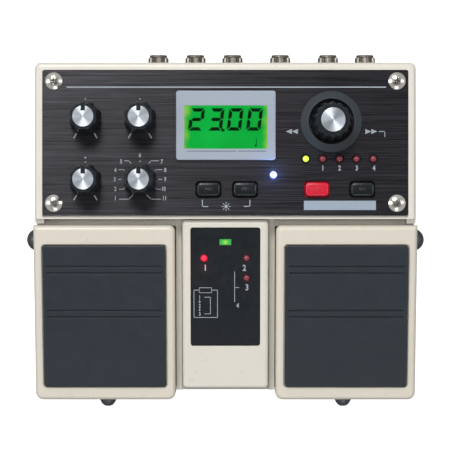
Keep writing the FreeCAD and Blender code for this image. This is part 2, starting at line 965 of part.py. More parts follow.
def base():
    """The steel base plate, the rubber sheet under it and the screws that hold it."""
    rear = "deck_rear - base_inset"
    front = "tray_front + base_inset"
    side = "tray_half - base_inset"
    metal = plate("base_blank", (f"-({side})", side), (front, rear), ("sheet_thickness", "floor_bottom"), "deck_corner")
    holes = [
        rod(f"base_hole_{step}", "thread_radius + screw_clearance", f"base_thickness + {FAR}", x, y, "sheet_thickness - 1")
        for step, (x, y) in enumerate(base_screw_places())
    ]
    keep("base_plate", carve("base_plate_cut", metal, holes))
    rubber = plate(
        "sheet_blank",
        (f"-({side}) + sheet_inset", f"({side}) - sheet_inset"),
        (f"({front}) + sheet_inset", f"({rear}) - sheet_inset"),
        ("0", "sheet_thickness"),
        "sheet_corner",
    )
    wells = [
        rod(f"sheet_well_{step}", "base_head_radius + 4 * screw_clearance", f"sheet_thickness + {FAR}", x, y, "-1")
        for step, (x, y) in enumerate(base_screw_places())
    ]
    keep("base_sheet", carve("base_sheet_cut", rubber, wells))
    screw = turned(
        "base_screw",
        [
            ("0", "-base_head_height"),
            ("base_head_radius", "-base_head_height"),
            ("base_head_radius", "0"),
            ("thread_radius", "0"),
            ("thread_radius", "base_screw_length"),
            ("0", "base_screw_length"),
        ],
    )
    copies = [
        copy_at(f"base_screw_{step}", screw, x, y, "sheet_thickness") for step, (x, y) in enumerate(base_screw_places())
    ]
    keep("base_screws", bundle("base_screw_set", copies))


def panel():
    """The brushed plate that carries the controls, and its four screws."""
    blank = plate(
        "panel_blank",
        ("-panel_half", "panel_half"),
        ("panel_front", "panel_rear"),
        ("panel_under", "panel_top"),
        "panel_corner",
    )
    deep = f"panel_thickness + {FAR}"
    low = "panel_under - 1"
    holes = [
        rod(f"panel_hole_{step}", "thread_radius + screw_clearance", deep, x, y, low)
        for step, (x, y) in enumerate(corners())
    ]
    for name, (x, y) in KNOBS.items():
        holes.append(rod(f"{name}_hole", "shaft_radius + shaft_hole_gap", deep, x, y, low))
    holes.append(rod("time_hole", "shaft_radius + shaft_hole_gap", deep, "time_x", "time_y", low))
    for step, (x, y) in enumerate(panel_lamps()):
        holes.append(rod(f"lamp_hole_{step}", "lamp_radius + lamp_clearance", deep, x, y, low))
    for name, x in BUTTONS.items():
        holes.append(
            plate(
                f"{name}_hole",
                about(x, "button_width + 2 * button_gap"),
                about("button_y", "button_length + 2 * button_gap"),
                (low, f"panel_top + {FAR}"),
                "button_corner",
            )
        )
    holes.append(
        block(
            "display_hole",
            about("display_x", "display_width - 2 * bezel_lip + 2 * bezel_play"),
            about("display_y", "display_length - 2 * bezel_lip + 2 * bezel_play"),
            (low, f"panel_top + {FAR}"),
        )
    )
    keep("panel_plate", carve("panel_cut", blank, holes))
    shank = rod("panel_screw_shank", "thread_radius", "panel_screw_length + screw_head_rim", z="-panel_screw_length")
    rim = rod("panel_screw_rim", "screw_head_radius", "screw_head_rim")
    dome = doc.addObject("Part::Sphere", "panel_screw_dome")
    bind(dome, "Radius", "screw_sphere")
    bind(dome, "Angle1", "asin((screw_sphere - screw_dome) / screw_sphere)")
    move(dome, z="screw_head_height - screw_sphere")
    head = join("panel_screw_blank", [shank, rim, dome])
    sunk = ("screw_head_height - screw_recess_depth", f"screw_head_height + {FAR}")
    cross = [
        block("cross_one", about("0", "screw_recess_length"), about("0", "screw_recess_width"), sunk),
        block("cross_two", about("0", "screw_recess_width"), about("0", "screw_recess_length"), sunk),
    ]
    screw = carve("panel_screw", head, cross)
    copies = [copy_at(f"panel_screw_{step}", screw, x, y, "panel_top") for step, (x, y) in enumerate(corners())]
    keep("panel_screws", bundle("panel_screw_set", copies))


def panel_lamps():
    places = [(f"lamp_first_x + {step} * lamp_step", "lamp_y") for step in range(5)]
    return places + [("blue_lamp_x", "blue_lamp_y")]


def boards():
    """The board under the panel, and the main board low in the box that carries the sockets."""
    inset = "ledge_width + board_play"
    blank = block(
        "control_blank",
        (f"-(panel_half - {inset.replace('+', '-')})", f"panel_half - {inset.replace('+', '-')}"),
        (f"panel_front + {inset}", f"panel_rear - ({inset})"),
        ("control_under", "control_top"),
    )
    holes = [
        rod(f"control_hole_{step}", "post_neck + screw_clearance", f"board_thickness + {FAR}", x, y, "control_under - 1")
        for step, (x, y) in enumerate(corners())
    ]
    keep("control_board", carve("control_cut", blank, holes))
    narrow = "post_x - post_radius - board_gap / 2"
    board = block(
        "main_blank",
        (f"-({narrow})", narrow),
        ("deck_front + deck_wall + board_gap", "deck_back - board_play"),
        ("main_height", "main_top"),
    )
    chips = [
        block(
            f"chip_{step}",
            about(x, "chip_width"),
            about("deck_front + deck_wall + chip_inset", "chip_width"),
            ("main_top", "main_top + chip_height"),
        )
        for step, x in enumerate(("-2 * chip_width", "0", "2 * chip_width"))
    ]
    cans = [
        rod(f"can_{step}", "can_radius", "can_height", x, "deck_front + deck_wall + can_inset", "main_top")
        for step, x in enumerate(("-4 * chip_width", "-3 * chip_width", "3 * chip_width", "4 * chip_width"))
    ]
    keep("main_board", bundle("main_board_set", [board] + chips + cans))


KNOBS = {
    "level_knob": ("knob_left_x", "knob_rear_y"),
    "feedback_knob": ("knob_right_x", "knob_rear_y"),
    "tone_knob": ("knob_left_x", "knob_front_y"),
    "mode_knob": ("knob_right_x", "knob_front_y"),
}
BUTTONS = {"tap_button": "tap_x", "tempo_button": "tempo_x", "store_button": "store_x", "select_button": "select_x"}


def flutes(name, count, knob, reach):
    """Upright tapered cutters round a knob, each leaving the same waist as its neighbours."""
    low = f"{reach} - {knob}_base_waist"
    high = f"{reach} - {knob}_top_waist"
    cutter = turned(
        f"{name}_cutter",
        [
            ("0", f"{knob}_under - 1"),
            (low, f"{knob}_under - 1"),
            (low, f"{knob}_under"),
            (high, f"{knob}_upper"),
            (high, f"{knob}_upper + 1"),
            ("0", f"{knob}_upper + 1"),
        ],
    )
    angles = [360 / count * step for step in range(count)]
    return [
        copy_at(f"{name}_{step}", cutter, f"{reach} * cos({angle})", f"{reach} * sin({angle})")
        for step, angle in enumerate(angles)
    ]


def small_knobs():
    """Four scalloped knobs with aluminium caps, each on the shaft of a rotary control."""
    blank = turned(
        "knob_blank",
        [
            ("0", "knob_under"),
            ("knob_base_radius", "knob_under"),
            ("knob_top_radius", "knob_upper"),
            ("0", "knob_upper"),
        ],
    )
    trimmed = carve("knob_trimmed", blank, flutes("scallop", 8, "knob", "knob_scallop_reach"))
    pointer = block(
        "knob_pointer",
        about("0", "knob_pointer_width"),
        ("0", "knob_top_radius"),
        ("knob_under", "knob_upper + cap_thickness"),
    )
    bore = rod("knob_bore", "shaft_radius", "knob_bore_depth", z="knob_under")
    knob = carve("knob_master", join("knob_solid", [trimmed, pointer]), [bore])
    disc = rod("cap_disc", "cap_radius", "cap_thickness", z="knob_upper")
    notch = block(
        "cap_notch",
        about("0", "knob_pointer_width"),
        ("0", f"cap_radius + {FAR}"),
        ("knob_upper - 1", f"knob_upper + {FAR}"),
    )
    stop = block(
        "pointer_stop",
        about("0", "knob_pointer_width"),
        ("0", "knob_pointer_end"),
        ("knob_upper", f"knob_upper + {FAR}"),
    )
    cap = carve("cap_master", disc, [carve("cap_slot", notch, [stop])])
    knob_body = carve("knob_body", knob, [stop])
    shaft = rod("shaft_master", "shaft_radius", "knob_under + knob_bore_depth - shaft_low", z="shaft_low")
    for name, (x, y) in KNOBS.items():
        keep(name, copy_at(name, knob_body, x, y))
        keep(name.replace("knob", "cap"), copy_at(name + "_cap", cap, x, y))
        keep(name.replace("knob", "shaft"), copy_at(name + "_shaft", shaft, x, y))
    case = block(
        "rotary_case",
        about("0", "rotary_width"),
        about("0", "rotary_width"),
        ("control_top", "control_top + rotary_height"),
    )
    well = rod("rotary_well", "shaft_radius + shaft_play", f"rotary_height + {FAR}", z="shaft_low")
    rotary = carve("rotary_master", case, [well])
    copies = [copy_at(f"{name}_rotary", rotary, x, y) for name, (x, y) in KNOBS.items()]
    keep("rotary_bodies", bundle("rotary_set", copies))


def time_control():
    """The large knob, which turns an encoder without end and presses a switch in it."""
    blank = turned(
        "time_blank",
        [
            ("0", "time_under"),
            ("time_base_radius", "time_under"),
            ("time_top_radius", "time_upper"),
            ("0", "time_upper"),
        ],
    )
    bore = rod("time_bore", "shaft_radius", "time_bore_depth", z="time_under")
    knob = carve("time_master", blank, flutes("flute", 14, "time", "time_flute_reach") + [bore])
    keep("time_knob", copy_at("time_knob", knob, "time_x", "time_y"))
    keep("time_cap", rod("time_cap", "time_cap_radius", "time_cap_thickness", "time_x", "time_y", "time_upper"))
    keep(
        "time_shaft",
        rod(
            "time_shaft",
            "shaft_radius",
            "time_under + time_bore_depth - plunger_high",
            "time_x",
            "time_y",
            "plunger_high",
        ),
    )
    keep(
        "time_plunger",
        rod("time_plunger", "plunger_radius", "plunger_thickness", "time_x", "time_y", "plunger_low"),
    )
    case = block(
        "encoder_case",
        about("time_x", "encoder_width"),
        about("time_y", "encoder_width"),
        ("control_top", "control_top + rotary_height"),
    )
    room = rod(
        "encoder_room",
        "plunger_radius + plunger_gap",
        "plunger_high + plunger_rest - control_top - encoder_floor",
        "time_x",
        "time_y",
        "control_top + encoder_floor",
    )
    well = rod(
        "encoder_well",
        "shaft_radius + shaft_play",
        f"rotary_height + {FAR}",
        "time_x",
        "time_y",
        "plunger_low",
    )
    keep("encoder_body", carve("encoder_cut", case, [room, well]))
    rim = turned(
        "time_ring",
        [
            ("ring_inner_radius", "panel_top"),
            ("ring_outer_radius", "panel_top"),
            ("ring_outer_radius", "panel_top + ring_edge"),
            ("ring_inner_radius + ring_land", "panel_top + ring_height"),
            ("ring_inner_radius", "panel_top + ring_height"),
        ],
    )
    keep("time_ring", move(rim, "time_x", "time_y"))


def buttons():
    """Four push buttons that stand through the panel, each over a switch on the board."""
    cap = plate(
        "button_blank",
        about("0", "button_width"),
        about("0", "button_length"),
        ("flange_top - button_flange_thickness", "button_top"),
        "button_corner",
    )
    soften(cap, "button_edge", on_top(cap))
    flange = block(
        "button_flange_block",
        about("0", "button_width + 2 * button_flange"),
        about("0", "button_length + 2 * button_flange"),
        ("flange_top - button_flange_thickness", "flange_top"),
    )
    stem = rod(
        "button_stem",
        "button_stem_radius",
        "flange_top - tact_top + tact_entry",
        z="tact_top - tact_entry",
    )
    mark = block(
        "button_mark",
        about("0", "button_mark_length"),
        about("0", "button_mark_width"),
        ("button_top - button_mark_height", "button_top + button_mark_height"),
    )
    button = join("button_master", [cap, flange, stem, mark])
    housing = block(
        "tact_block",
        about("0", "tact_width"),
        about("0", "tact_width"),
        ("control_top", "tact_top"),
    )
    well = rod("tact_well", "button_stem_radius + tact_play", f"tact_hole_depth + {FAR}", z="tact_top - tact_hole_depth")
    switch = carve("tact_master", housing, [well])
    for name, x in BUTTONS.items():
        keep(name, copy_at(name, button, x, "button_y"))
    copies = [copy_at(f"{name}_switch", switch, x, "button_y") for name, x in BUTTONS.items()]
    keep("tact_switches", bundle("tact_set", copies))


def lamps():
    """Round lamps in the panel and in the cover between the pedals, and a square one."""
    stem = turned(
        "lamp_stem",
        [
            ("0", "0"),
            ("lamp_flange_radius", "0"),
            ("lamp_flange_radius", "lamp_flange_height"),
            ("lamp_radius", "lamp_flange_height"),
            ("lamp_radius", "lamp_length - lamp_radius"),
            ("0", "lamp_length - lamp_radius"),
        ],
    )
    tip = doc.addObject("Part::Sphere", "lamp_tip")
    bind(tip, "Radius", "lamp_radius")
    move(tip, z="lamp_length - lamp_radius")
    lamp = join("lamp_master", [stem, tip])
    places = panel_lamps()
    keep("green_lamp", copy_at("green_lamp", lamp, *places[0], "control_top"))
    keep("blue_lamp", copy_at("blue_lamp", lamp, *places[5], "control_top"))
    red = [copy_at(f"red_lamp_{step}", lamp, *places[step], "control_top") for step in range(1, 5)]
    for step, (x, along) in enumerate(foot_lamps()):
        flat = copy_at(f"foot_lamp_flat_{step}", lamp, x, along, "foot_board_top")
        red.append(lean(bundle(f"foot_lamp_{step}", [flat]), "cover_rear"))
    keep("red_lamps", bundle("red_lamp_set", red))
    square = block(
        "power_lamp_flat",
        about("0", "power_lamp_width"),
        about("-power_lamp_along", "power_lamp_length"),
        ("foot_board_top", "label_thickness - label_recess + lamp_clearance"),
    )
    keep("power_lamp", lean(bundle("power_lamp", [square]), "cover_rear"))


def foot_lamps():
    return [
        ("foot_lamp_left_x", "-foot_lamp_upper"),
        ("foot_lamp_right_x", "-foot_lamp_upper"),
        ("foot_lamp_right_x", "-foot_lamp_lower"),
    ]


def display():
    """The frame round the display, its window and the module behind it."""
    across = about("display_x", "display_width")
    along = about("display_y", "display_length")
    face = plate("bezel_face", across, along, ("panel_top", "display_top"), "display_corner")
    soften(face, "display_edge", on_top(face))
    skirt = block(
        "bezel_skirt",
        about("display_x", "display_width - 2 * bezel_lip"),
        about("display_y", "display_length - 2 * bezel_lip"),
        ("panel_top - bezel_depth", "panel_top"),
    )
    opening = block(
        "window_opening",
        about("display_x", "window_width"),
        about("window_y", "window_length"),
        ("lens_low", f"display_top + {FAR}"),
    )
    inner_width = "display_width - 2 * bezel_lip - 2 * bezel_wall"
    inner_length = "display_length - 2 * bezel_lip - 2 * bezel_wall"
    room = block(
        "bezel_room",
        about("display_x", inner_width),
        about("display_y", inner_length),
        (f"panel_top - bezel_depth - {FAR}", "lens_top"),
    )
    keep("display_bezel", carve("bezel_cut", join("bezel_solid", [face, skirt]), [opening, room]))
    across = about("display_x", inner_width + " - 2 * module_gap")
    along = about("display_y", inner_length + " - 2 * module_gap")
    keep("display_lens", block("display_lens", across, along, ("lens_low", "lens_top")))
    keep("display_module", block("display_module", across, along, ("control_top", "lens_low")))


def sockets():
    """Six plug sockets with their nuts and washers, the power inlet and the slide switch."""
    shell = block(
        "jack_shell",
        about("0", "jack_width"),
        ("deck_back - jack_length", "deck_back"),
        ("main_top", "jack_height + jack_top"),
    )
    collar = rod("jack_collar", "collar_radius", "collar_end - deck_back", y="deck_back", z="jack_height", facing="rear")
    bore = rod("jack_bore", "plug_radius", "plug_depth", y="collar_end - plug_depth", z="jack_height", facing="rear")
    jack = carve("jack_master", join("jack_solid", [shell, collar]), [bore])
    keep("jack_bodies", bundle("jack_set", [copy_at(f"body_{x}", jack, x) for x in jack_places()]))
    washer = ring("washer_master", "collar_radius + washer_play", "washer_radius", "0", "washer_thickness")
    keep(
        "jack_washers",
        bundle(
            "washer_set",
            [copy_at(f"washer_{x}", washer, x, "deck_rear", "jack_height", "rear") for x in jack_places()],
        ),
    )
    ridges = 20
    corners_of_nut = []
    for step in range(2 * ridges):
        reach = "nut_radius" if step % 2 == 0 else "(nut_radius - nut_knurl)"
        angle = 180 / ridges * step
        corners_of_nut.append((f"{reach} * cos({angle})", f"{reach} * sin({angle})"))
    blank = padded("nut_blank", "XY_Plane", corners_of_nut, "0", "nut_thickness")
    bevel = turned(
        "nut_bevel",
        [
            ("nut_radius - nut_edge", "nut_thickness"),
            ("nut_radius + nut_edge", "nut_thickness - 2 * nut_edge"),
            ("nut_radius + nut_edge", "nut_thickness + nut_edge"),
            ("nut_radius - nut_edge", "nut_thickness + nut_edge"),
        ],
    )
    nut = carve("nut_master", blank, [bevel, rod("nut_bore", "collar_radius", f"nut_thickness + {FAR}", z="-1")])
    keep(
        "jack_nuts",
        bundle(
            "nut_set",
            [
                copy_at(f"nut_{x}", nut, x, "deck_rear + washer_thickness", "jack_height", "rear")
                for x in jack_places()
            ],
        ),
    )
    case = block(
        "inlet_case",
        about("inlet_x", "inlet_width"),
        ("deck_back - inlet_length", "deck_back"),
        ("main_top", "jack_height + inlet_top"),
    )
    nose = rod("inlet_nose", "inlet_collar", "deck_wall", "inlet_x", "deck_back", "jack_height", "rear")
    hollow = rod(
        "inlet_hollow",
        "inlet_bore",
        "inlet_bore_depth",
        "inlet_x",
        "deck_rear - inlet_bore_depth",
        "jack_height",
        "rear",
    )
    pin = rod(
        "inlet_pin_rod",
        "inlet_pin",
        "inlet_bore_depth",
        "inlet_x",
        "deck_rear - inlet_bore_depth - inlet_pin",
        "jack_height",
        "rear",
    )
    keep("power_inlet", join("inlet_joined", [carve("inlet_cut", join("inlet_solid", [case, nose]), [hollow]), pin]))
    housing = block(
        "slider_housing",
        about("slider_x - slider_travel / 2", "slider_body_width"),
        ("deck_back - slider_body_length", "deck_back"),
        ("main_top", "slider_z + slider_body_top"),
    )
    channel = block(
        "slider_channel",
        ("slider_x - slider_width / 2 - slider_travel - slider_gap", "slider_x + slider_width / 2 + slider_gap"),
        ("deck_back - slider_entry - slider_gap", f"deck_back + {FAR}"),
        about("slider_z", "slider_height + 2 * slider_gap"),
    )
    keep("power_switch_body", carve("slider_cut", housing, [channel]))
    keep(
        "power_slider",
        block(
            "power_slider",
            about("slider_x", "slider_width"),
            ("deck_back - slider_entry", "deck_rear + slider_reach"),
            about("slider_z", "slider_height"),
        ),
    )


def centre():
    """The cover between the pedals, its label plate and the small board for its lamps."""
    top_rear = pedal_line("cover_rear")
    front_top = "cover_front + cover_front_slope"
    shell = slab(
        "cover_blank",
        ("-cover_half", "cover_half"),
        [
            ("cover_front", "tray_front_height"),
            ("tray_front + tray_wall + cover_slot_gap", "tray_front_height"),
            ("tray_front + tray_wall + cover_slot_gap", "floor_top"),
            ("cross_front - cover_slot_gap", "floor_top"),
            ("cross_front - cover_slot_gap", "slot_bottom + cover_slot_gap"),
            ("cover_rear", "slot_bottom + cover_slot_gap"),
            ("cover_rear", top_rear),
            (front_top, pedal_line(front_top)),
        ],
    )
    soften(shell, "cover_corner", at_ends(shell))
    soften(shell, "cover_edge", on_top(shell))
    inner_front = "tray_front + tray_wall + cover_slot_gap + cover_wall"
    inner_rear = "cross_front - cover_slot_gap - cover_wall"
    inside = slab(
        "cover_inside",
        ("-cover_half + cover_wall", "cover_half - cover_wall"),
        [
            (inner_front, f"floor_top - {FAR}"),
            (inner_rear, f"floor_top - {FAR}"),
            (inner_rear, f"{pedal_line(inner_rear)} - cover_top"),
            (inner_front, f"{pedal_line(inner_front)} - cover_top"),
        ],
    )
    hollow = carve("cover_hollow", shell, [inside])
    posts = [
        rod(
            f"cover_post_{step}",
            "cover_post_radius",
            f"{pedal_line(y)} - cover_top / 2 - floor_top",
            "0",
            y,
            "floor_top",
        )
        for step, y in enumerate(("cover_post_front", "cover_post_rear"))
    ]
    pegs = [
        lean(
            bundle(
                f"peg_{step}",
                [
                    rod(
                        f"peg_flat_{step}",
                        "foot_board_post_radius",
                        "-cover_top / 2 - foot_board_top",
                        "0",
                        f"-{along}",
                        "foot_board_top",
                    )
                ],
            ),
            "cover_rear",
        )
        for step, along in enumerate(("foot_board_post_rear", "foot_board_post_front"))
    ]
    seat = lean(
        bundle(
            "label_seat",
            [
                plate(
                    "label_seat_flat",
                    about("0", "label_width + 2 * label_gap"),
                    ("-label_rear_margin - label_length - label_gap", "-label_rear_margin + label_gap"),
                    ("-label_recess", f"{FAR}"),
                    "label_corner",
                )
            ],
        ),
        "cover_rear",
    )
    holes = [
        lean(
            bundle(
                f"cover_lamp_hole_{step}",
                [rod(f"cover_lamp_flat_{step}", "lamp_radius + lamp_clearance", f"cover_top + {2 * FAR}", x, y, f"-cover_top - {FAR}")],
            ),
            "cover_rear",
        )
        for step, (x, y) in enumerate(foot_lamps())
    ]
    window = lean(
        bundle(
            "cover_window",
            [
                block(
                    "cover_window_flat",
                    about("0", "power_lamp_width + 2 * lamp_clearance"),
                    about("-power_lamp_along", "power_lamp_length + 2 * lamp_clearance"),
                    (f"-cover_top - {FAR}", f"{FAR}"),
                )
            ],
        ),
        "cover_rear",
    )
    threads = [
        rod(f"cover_thread_{step}", "thread_radius", "base_screw_length", "0", y, "sheet_thickness")
        for step, y in enumerate(("cover_post_front", "cover_post_rear"))
    ]
    keep("centre_cover", carve("cover_cut", join("cover_solid", [hollow] + posts + pegs), [seat, window] + holes + threads))
    label = plate(
        "label_blank",
        about("0", "label_width"),
        ("-label_rear_margin - label_length", "-label_rear_margin"),
        ("-label_recess", "label_thickness - label_recess"),
        "label_corner",
    )
    label_holes = [
        rod(f"label_hole_{step}", "lamp_radius + lamp_clearance", f"{2 * FAR}", x, y, f"-{FAR}")
        for step, (x, y) in enumerate(foot_lamps())
    ]
    label_holes.append(
        block(
            "label_window",
            about("0", "power_lamp_width + 2 * lamp_clearance"),
            about("-power_lamp_along", "power_lamp_length + 2 * lamp_clearance"),
            (f"-{FAR}", f"{FAR}"),
        )
    )
    keep("label_plate", lean(carve("label_cut", label, label_holes), "cover_rear"))
    board = block(
        "foot_board_flat",
        about("0", "foot_board_width"),
        ("-foot_board_rear - foot_board_length", "-foot_board_rear"),
        ("foot_board_top - foot_board_thickness", "foot_board_top"),
    )
    keep("centre_board", lean(bundle("centre_board", [board]), "cover_rear"))


def pedals():
    for name, side in SIDES.items():
        pedal(name, side)
        tread(name, side)
        foot_parts(name, side)


def pedal(name, side):
    """A cast pedal plate with skirts, a hinge eye in each side skirt and a slot for the thumbscrew."""
    lower_rear = "pedal_height - pedal_skirt_depth"
    lower_front = "pedal_height - pedal_drop - pedal_skirt_depth"
    shell = slab(
        f"{name}_pedal_blank",
        span(side, "pedal_inner", "pedal_outer"),
        [
            ("pedal_front", lower_front),
            ("pedal_rear", lower_rear),
            ("pedal_rear", "pedal_height"),
            ("pedal_front", "pedal_height - pedal_drop"),
        ],
    )
    soften(shell, "pedal_corner", in_front(shell))
    soften(shell, "pedal_rear_corner", behind_inside(shell))
    soften(shell, "pedal_edge", on_top(shell))
    front = "pedal_front + pedal_skirt"
    rear = "pedal_rear - pedal_skirt"
    inside = slab(
        f"{name}_pedal_inside",
        span(side, "pedal_inner + pedal_skirt", "pedal_outer - pedal_skirt"),
        [
            (front, f"{lower_front} - {FAR}"),
            (rear, f"{lower_front} - {FAR}"),
            (rear, f"{pedal_line(rear)} - pedal_under"),
            (front, f"{pedal_line(front)} - pedal_under"),
        ],
    )
    opening = block(
        f"{name}_pedal_rear",
        span(side, "pedal_inner + pedal_skirt", "pedal_outer - pedal_skirt"),
        (f"{rear} - 1", f"pedal_rear + {FAR}"),
        (f"{lower_front} - {FAR}", "pedal_height - pedal_lip_depth"),
    )
    notch = block(
        f"{name}_pedal_notch",
        span(side, f"pedal_inner - {FAR}", f"pedal_outer + {FAR}"),
        ("pedal_rear - pedal_notch", f"pedal_rear + {FAR}"),
        (f"{lower_front} - {FAR}", "pedal_height - pedal_lip_depth"),
    )
    relief = slab(
        f"{name}_pedal_relief",
        span(side, f"pedal_inner - {FAR}", "pedal_inner + pedal_skirt"),
        [
            (front, f"{lower_front} - {FAR}"),
            (f"pedal_rear + {FAR}", f"{lower_front} - {FAR}"),
            (f"pedal_rear + {FAR}", f"{pedal_line(f'pedal_rear + {FAR}')} - pedal_inner_depth"),
            (front, f"{pedal_line(front)} - pedal_inner_depth"),
        ],
    )
    seat_x = off(side, "spring_out")
    seat = rod(f"{name}_spring_seat", "spring_seat_radius", "spring_seat_height + pedal_plate / 2", seat_x, "spring_y", "spring_top")
    pin_low = "floor_top + foot_switch_height - foot_pin_entry"
    pin = rod(
        f"{name}_foot_pin",
        "foot_pin_radius",
        f"{pedal_line('foot_switch_y')} - pedal_plate / 2 - ({pin_low})",
        seat_x,
        "foot_switch_y",
        pin_low,
    )
    slot = block(
        f"{name}_thumb_slot",
        about(off(side, "thumb_out"), "2 * (thumb_neck_radius + thumb_slot_gap)"),
        (f"pedal_front - {FAR}", f"{front} + {FAR}"),
        ("thumb_height - thumb_neck_radius - thumb_slot_gap", "thumb_height + thumb_neck_radius + thumb_slot_gap + pedal_travel"),
    )
    eye = rod(
        f"{name}_hinge_eye",
        "hinge_radius + hinge_play",
        f"pedal_outer - pedal_inner + {2 * FAR}",
        off(side, f"pedal_inner - {FAR}"),
        "hinge_y",
        "hinge_z",
        name,
    )
    recess = lean(
        bundle(
            f"{name}_recess",
            [
                plate(
                    f"{name}_recess_flat",
                    about(off(side, "pedal_middle"), "tread_width + 2 * recess_gap"),
                    ("-tread_rear_margin - tread_length - recess_gap", "-tread_rear_margin + recess_gap"),
                    ("-tread_recess", f"{FAR}"),
                    "tread_corner",
                )
            ],
        )
    )
    hollow = carve(f"{name}_pedal_hollow", shell, [inside, opening, notch, relief])
    solid = join(f"{name}_pedal_solid", [hollow, seat, pin])
    keep(f"{name}_pedal", carve(f"{name}_pedal_cut", solid, [slot, eye, recess]))


def tread(name, side):
    """The rubber tread in the recess of a pedal, with two pairs of grooves."""
    across = about(off(side, "pedal_middle"), "tread_width")
    pad = plate(
        f"{name}_tread_blank",
        across,
        ("-tread_rear_margin - tread_length", "-tread_rear_margin"),
        ("-tread_recess", "tread_thickness - tread_recess"),
        "tread_corner",
    )
    soften(pad, "tread_edge", on_top(pad))
    grooves = []
    for step, place in enumerate(
        ("groove_first", "groove_first + groove_pair", "groove_first + groove_step", "groove_first + groove_step + groove_pair")
    ):
        grooves.append(
            block(
                f"{name}_groove_{step}",
                about(off(side, "pedal_middle"), "tread_width - 2 * groove_margin"),
                about(f"-tread_rear_margin - ({place})", "groove_width"),
                ("tread_thickness - tread_recess - groove_depth", f"tread_thickness + {FAR}"),
            )
        )
    keep(f"{name}_tread", lean(carve(f"{name}_tread_cut", pad, grooves)))


def foot_parts(name, side):
    """The thumbscrew of one pedal."""
    screw = turned(
        f"{name}_thumb_blank",
        [
            ("0", "0"),
            ("thumb_head_radius * 0.3", "0"),
            ("thumb_head_radius * 0.53", "thumb_head_length * 0.13"),
            ("thumb_head_radius * 0.69", "thumb_head_length * 0.29"),
            ("thumb_head_radius * 0.82", "thumb_head_length * 0.48"),
            ("thumb_head_radius * 0.93", "thumb_head_length * 0.71"),
            ("thumb_head_radius", "thumb_head_length * 0.92"),
            ("thumb_head_radius", "thumb_head_length"),
            ("thumb_neck_radius", "thumb_head_length"),
            ("thumb_neck_radius", "thumb_neck_end"),
            ("thumb_thread_radius", "thumb_neck_end"),
            ("thumb_thread_radius", "thumb_neck_end + thumb_thread_length"),
            ("0", "thumb_neck_end + thumb_thread_length"),
        ],
    )
    move(screw, off(side, "thumb_out"), "thumb_head_y - thumb_head_length", "thumb_height", "rear")
    keep(f"{name}_thumbscrew", screw)


def hinges():
    """A rod with a domed head through the skirts of each pedal and the walls of the tray."""
    rods = []
    for name, side in SIDES.items():
        start = off(side, "pedal_inner")
        shank = rod(
            f"{name}_hinge_shank",
            "hinge_radius",
            "pedal_outer + dome_gap + dome_height / 2 - pedal_inner",
            start,
            "hinge_y",
            "hinge_z",
            name,
        )
        dome = doc.addObject("Part::Sphere", f"{name}_dome")
        bind(dome, "Radius", "dome_sphere")
        bind(dome, "Angle1", "asin((dome_sphere - dome_height) / dome_sphere)")
        move(dome, off(side, "pedal_outer + dome_gap + dome_height - dome_sphere"), "hinge_y", "hinge_z", name)
        rods.append(join(f"{name}_hinge_rod", [shank, dome]))
    keep("hinge_rods", bundle("hinge_set", rods))


def under_pedals():
    """Foot switches, battery holders and cells in the tray."""
    switches = []
    holders = []
    cells = []
    for name, side in SIDES.items():
        x = off(side, "spring_out")
        housing = block(
            f"{name}_foot_housing",
            about(x, "foot_switch_width"),
            about("foot_switch_y", "foot_switch_length"),
            ("floor_top", "floor_top + foot_switch_height"),
        )
        slot = block(
            f"{name}_foot_slot",
            about(x, "foot_slot_width"),
            about("foot_switch_y", "foot_slot_length"),
            ("floor_top + foot_switch_height - foot_slot_depth", f"floor_top + foot_switch_height + {FAR}"),
        )
        switches.append(carve(f"{name}_foot_switch", housing, [slot]))
        holders.append(battery_holder(name, side))
        cells += battery_cells(name, side)
    keep("foot_switches", bundle("foot_switch_set", switches))
    keep("battery_holders", bundle("holder_set", holders))
    keep("battery_cells", bundle("cell_set", cells))


def cell_x(side, number):
    return off(side, f"holder_near + holder_wall + cell_gap + cell_radius + {number} * cell_pitch")


def battery_holder(name, side):
    tray = block(
        f"{name}_holder_block",
        span(side, "holder_near", "holder_far"),
        ("holder_front", "holder_rear"),
        ("floor_top", "floor_top + holder_height"),
    )
    room = block(
        f"{name}_holder_room",
        span(side, "holder_near + holder_wall", "holder_far - holder_wall"),
        ("holder_front + holder_wall", "holder_rear - holder_wall"),
        ("floor_top + holder_floor", f"floor_top + holder_height + {FAR}"),
    )
    contacts = []
    for number in range(3):
        x = about(cell_x(side, number), "contact_width")
        z = ("floor_top + holder_floor / 2", "floor_top + holder_height")
        contacts.append(block(f"{name}_contact_front_{number}", x, ("holder_front + holder_wall / 2", "cell_front"), z))
        contacts.append(
            block(
                f"{name}_contact_rear_{number}",
                x,
                ("cell_front + cell_length + cell_nose_length", "holder_rear - holder_wall / 2"),
                z,
            )
        )
    return join(f"{name}_holder", [carve(f"{name}_holder_shell", tray, [room])] + contacts)


def battery_cells(name, side):
    """Three cells side by side, the middle one turned round."""
    cells = []
    for number in range(3):
        x = cell_x(side, number)
        turned_round = number == 1
        start = "cell_front + cell_nose_length" if turned_round else "cell_front"
        nose = "cell_front" if turned_round else "cell_front + cell_length"
        cells.append(
            join(
                f"{name}_cell_{number}",
                [
                    rod(f"{name}_can_{number}", "cell_radius", "cell_length", x, start, "cell_z", "rear"),
                    rod(f"{name}_nose_{number}", "cell_nose_radius", "cell_nose_length", x, nose, "cell_z", "rear"),
                ],
            )
        )
    return cells


def springs():
    """The spring that lifts each pedal, as the space that its wire fills."""
    for name, side in SIDES.items():
        spring = ring(f"{name}_spring", "spring_radius - spring_wire", "spring_radius + spring_wire", "0", "spring_space")
        keep(f"{name}_spring", move(spring, off(side, "spring_out"), "spring_y", "floor_top"))


fill_sheets()
chassis()
base()
panel()
boards()
small_knobs()
time_control()
buttons()
lamps()
display()
sockets()
centre()
pedals()
hinges()
under_pedals()
springs()
doc.recompute()

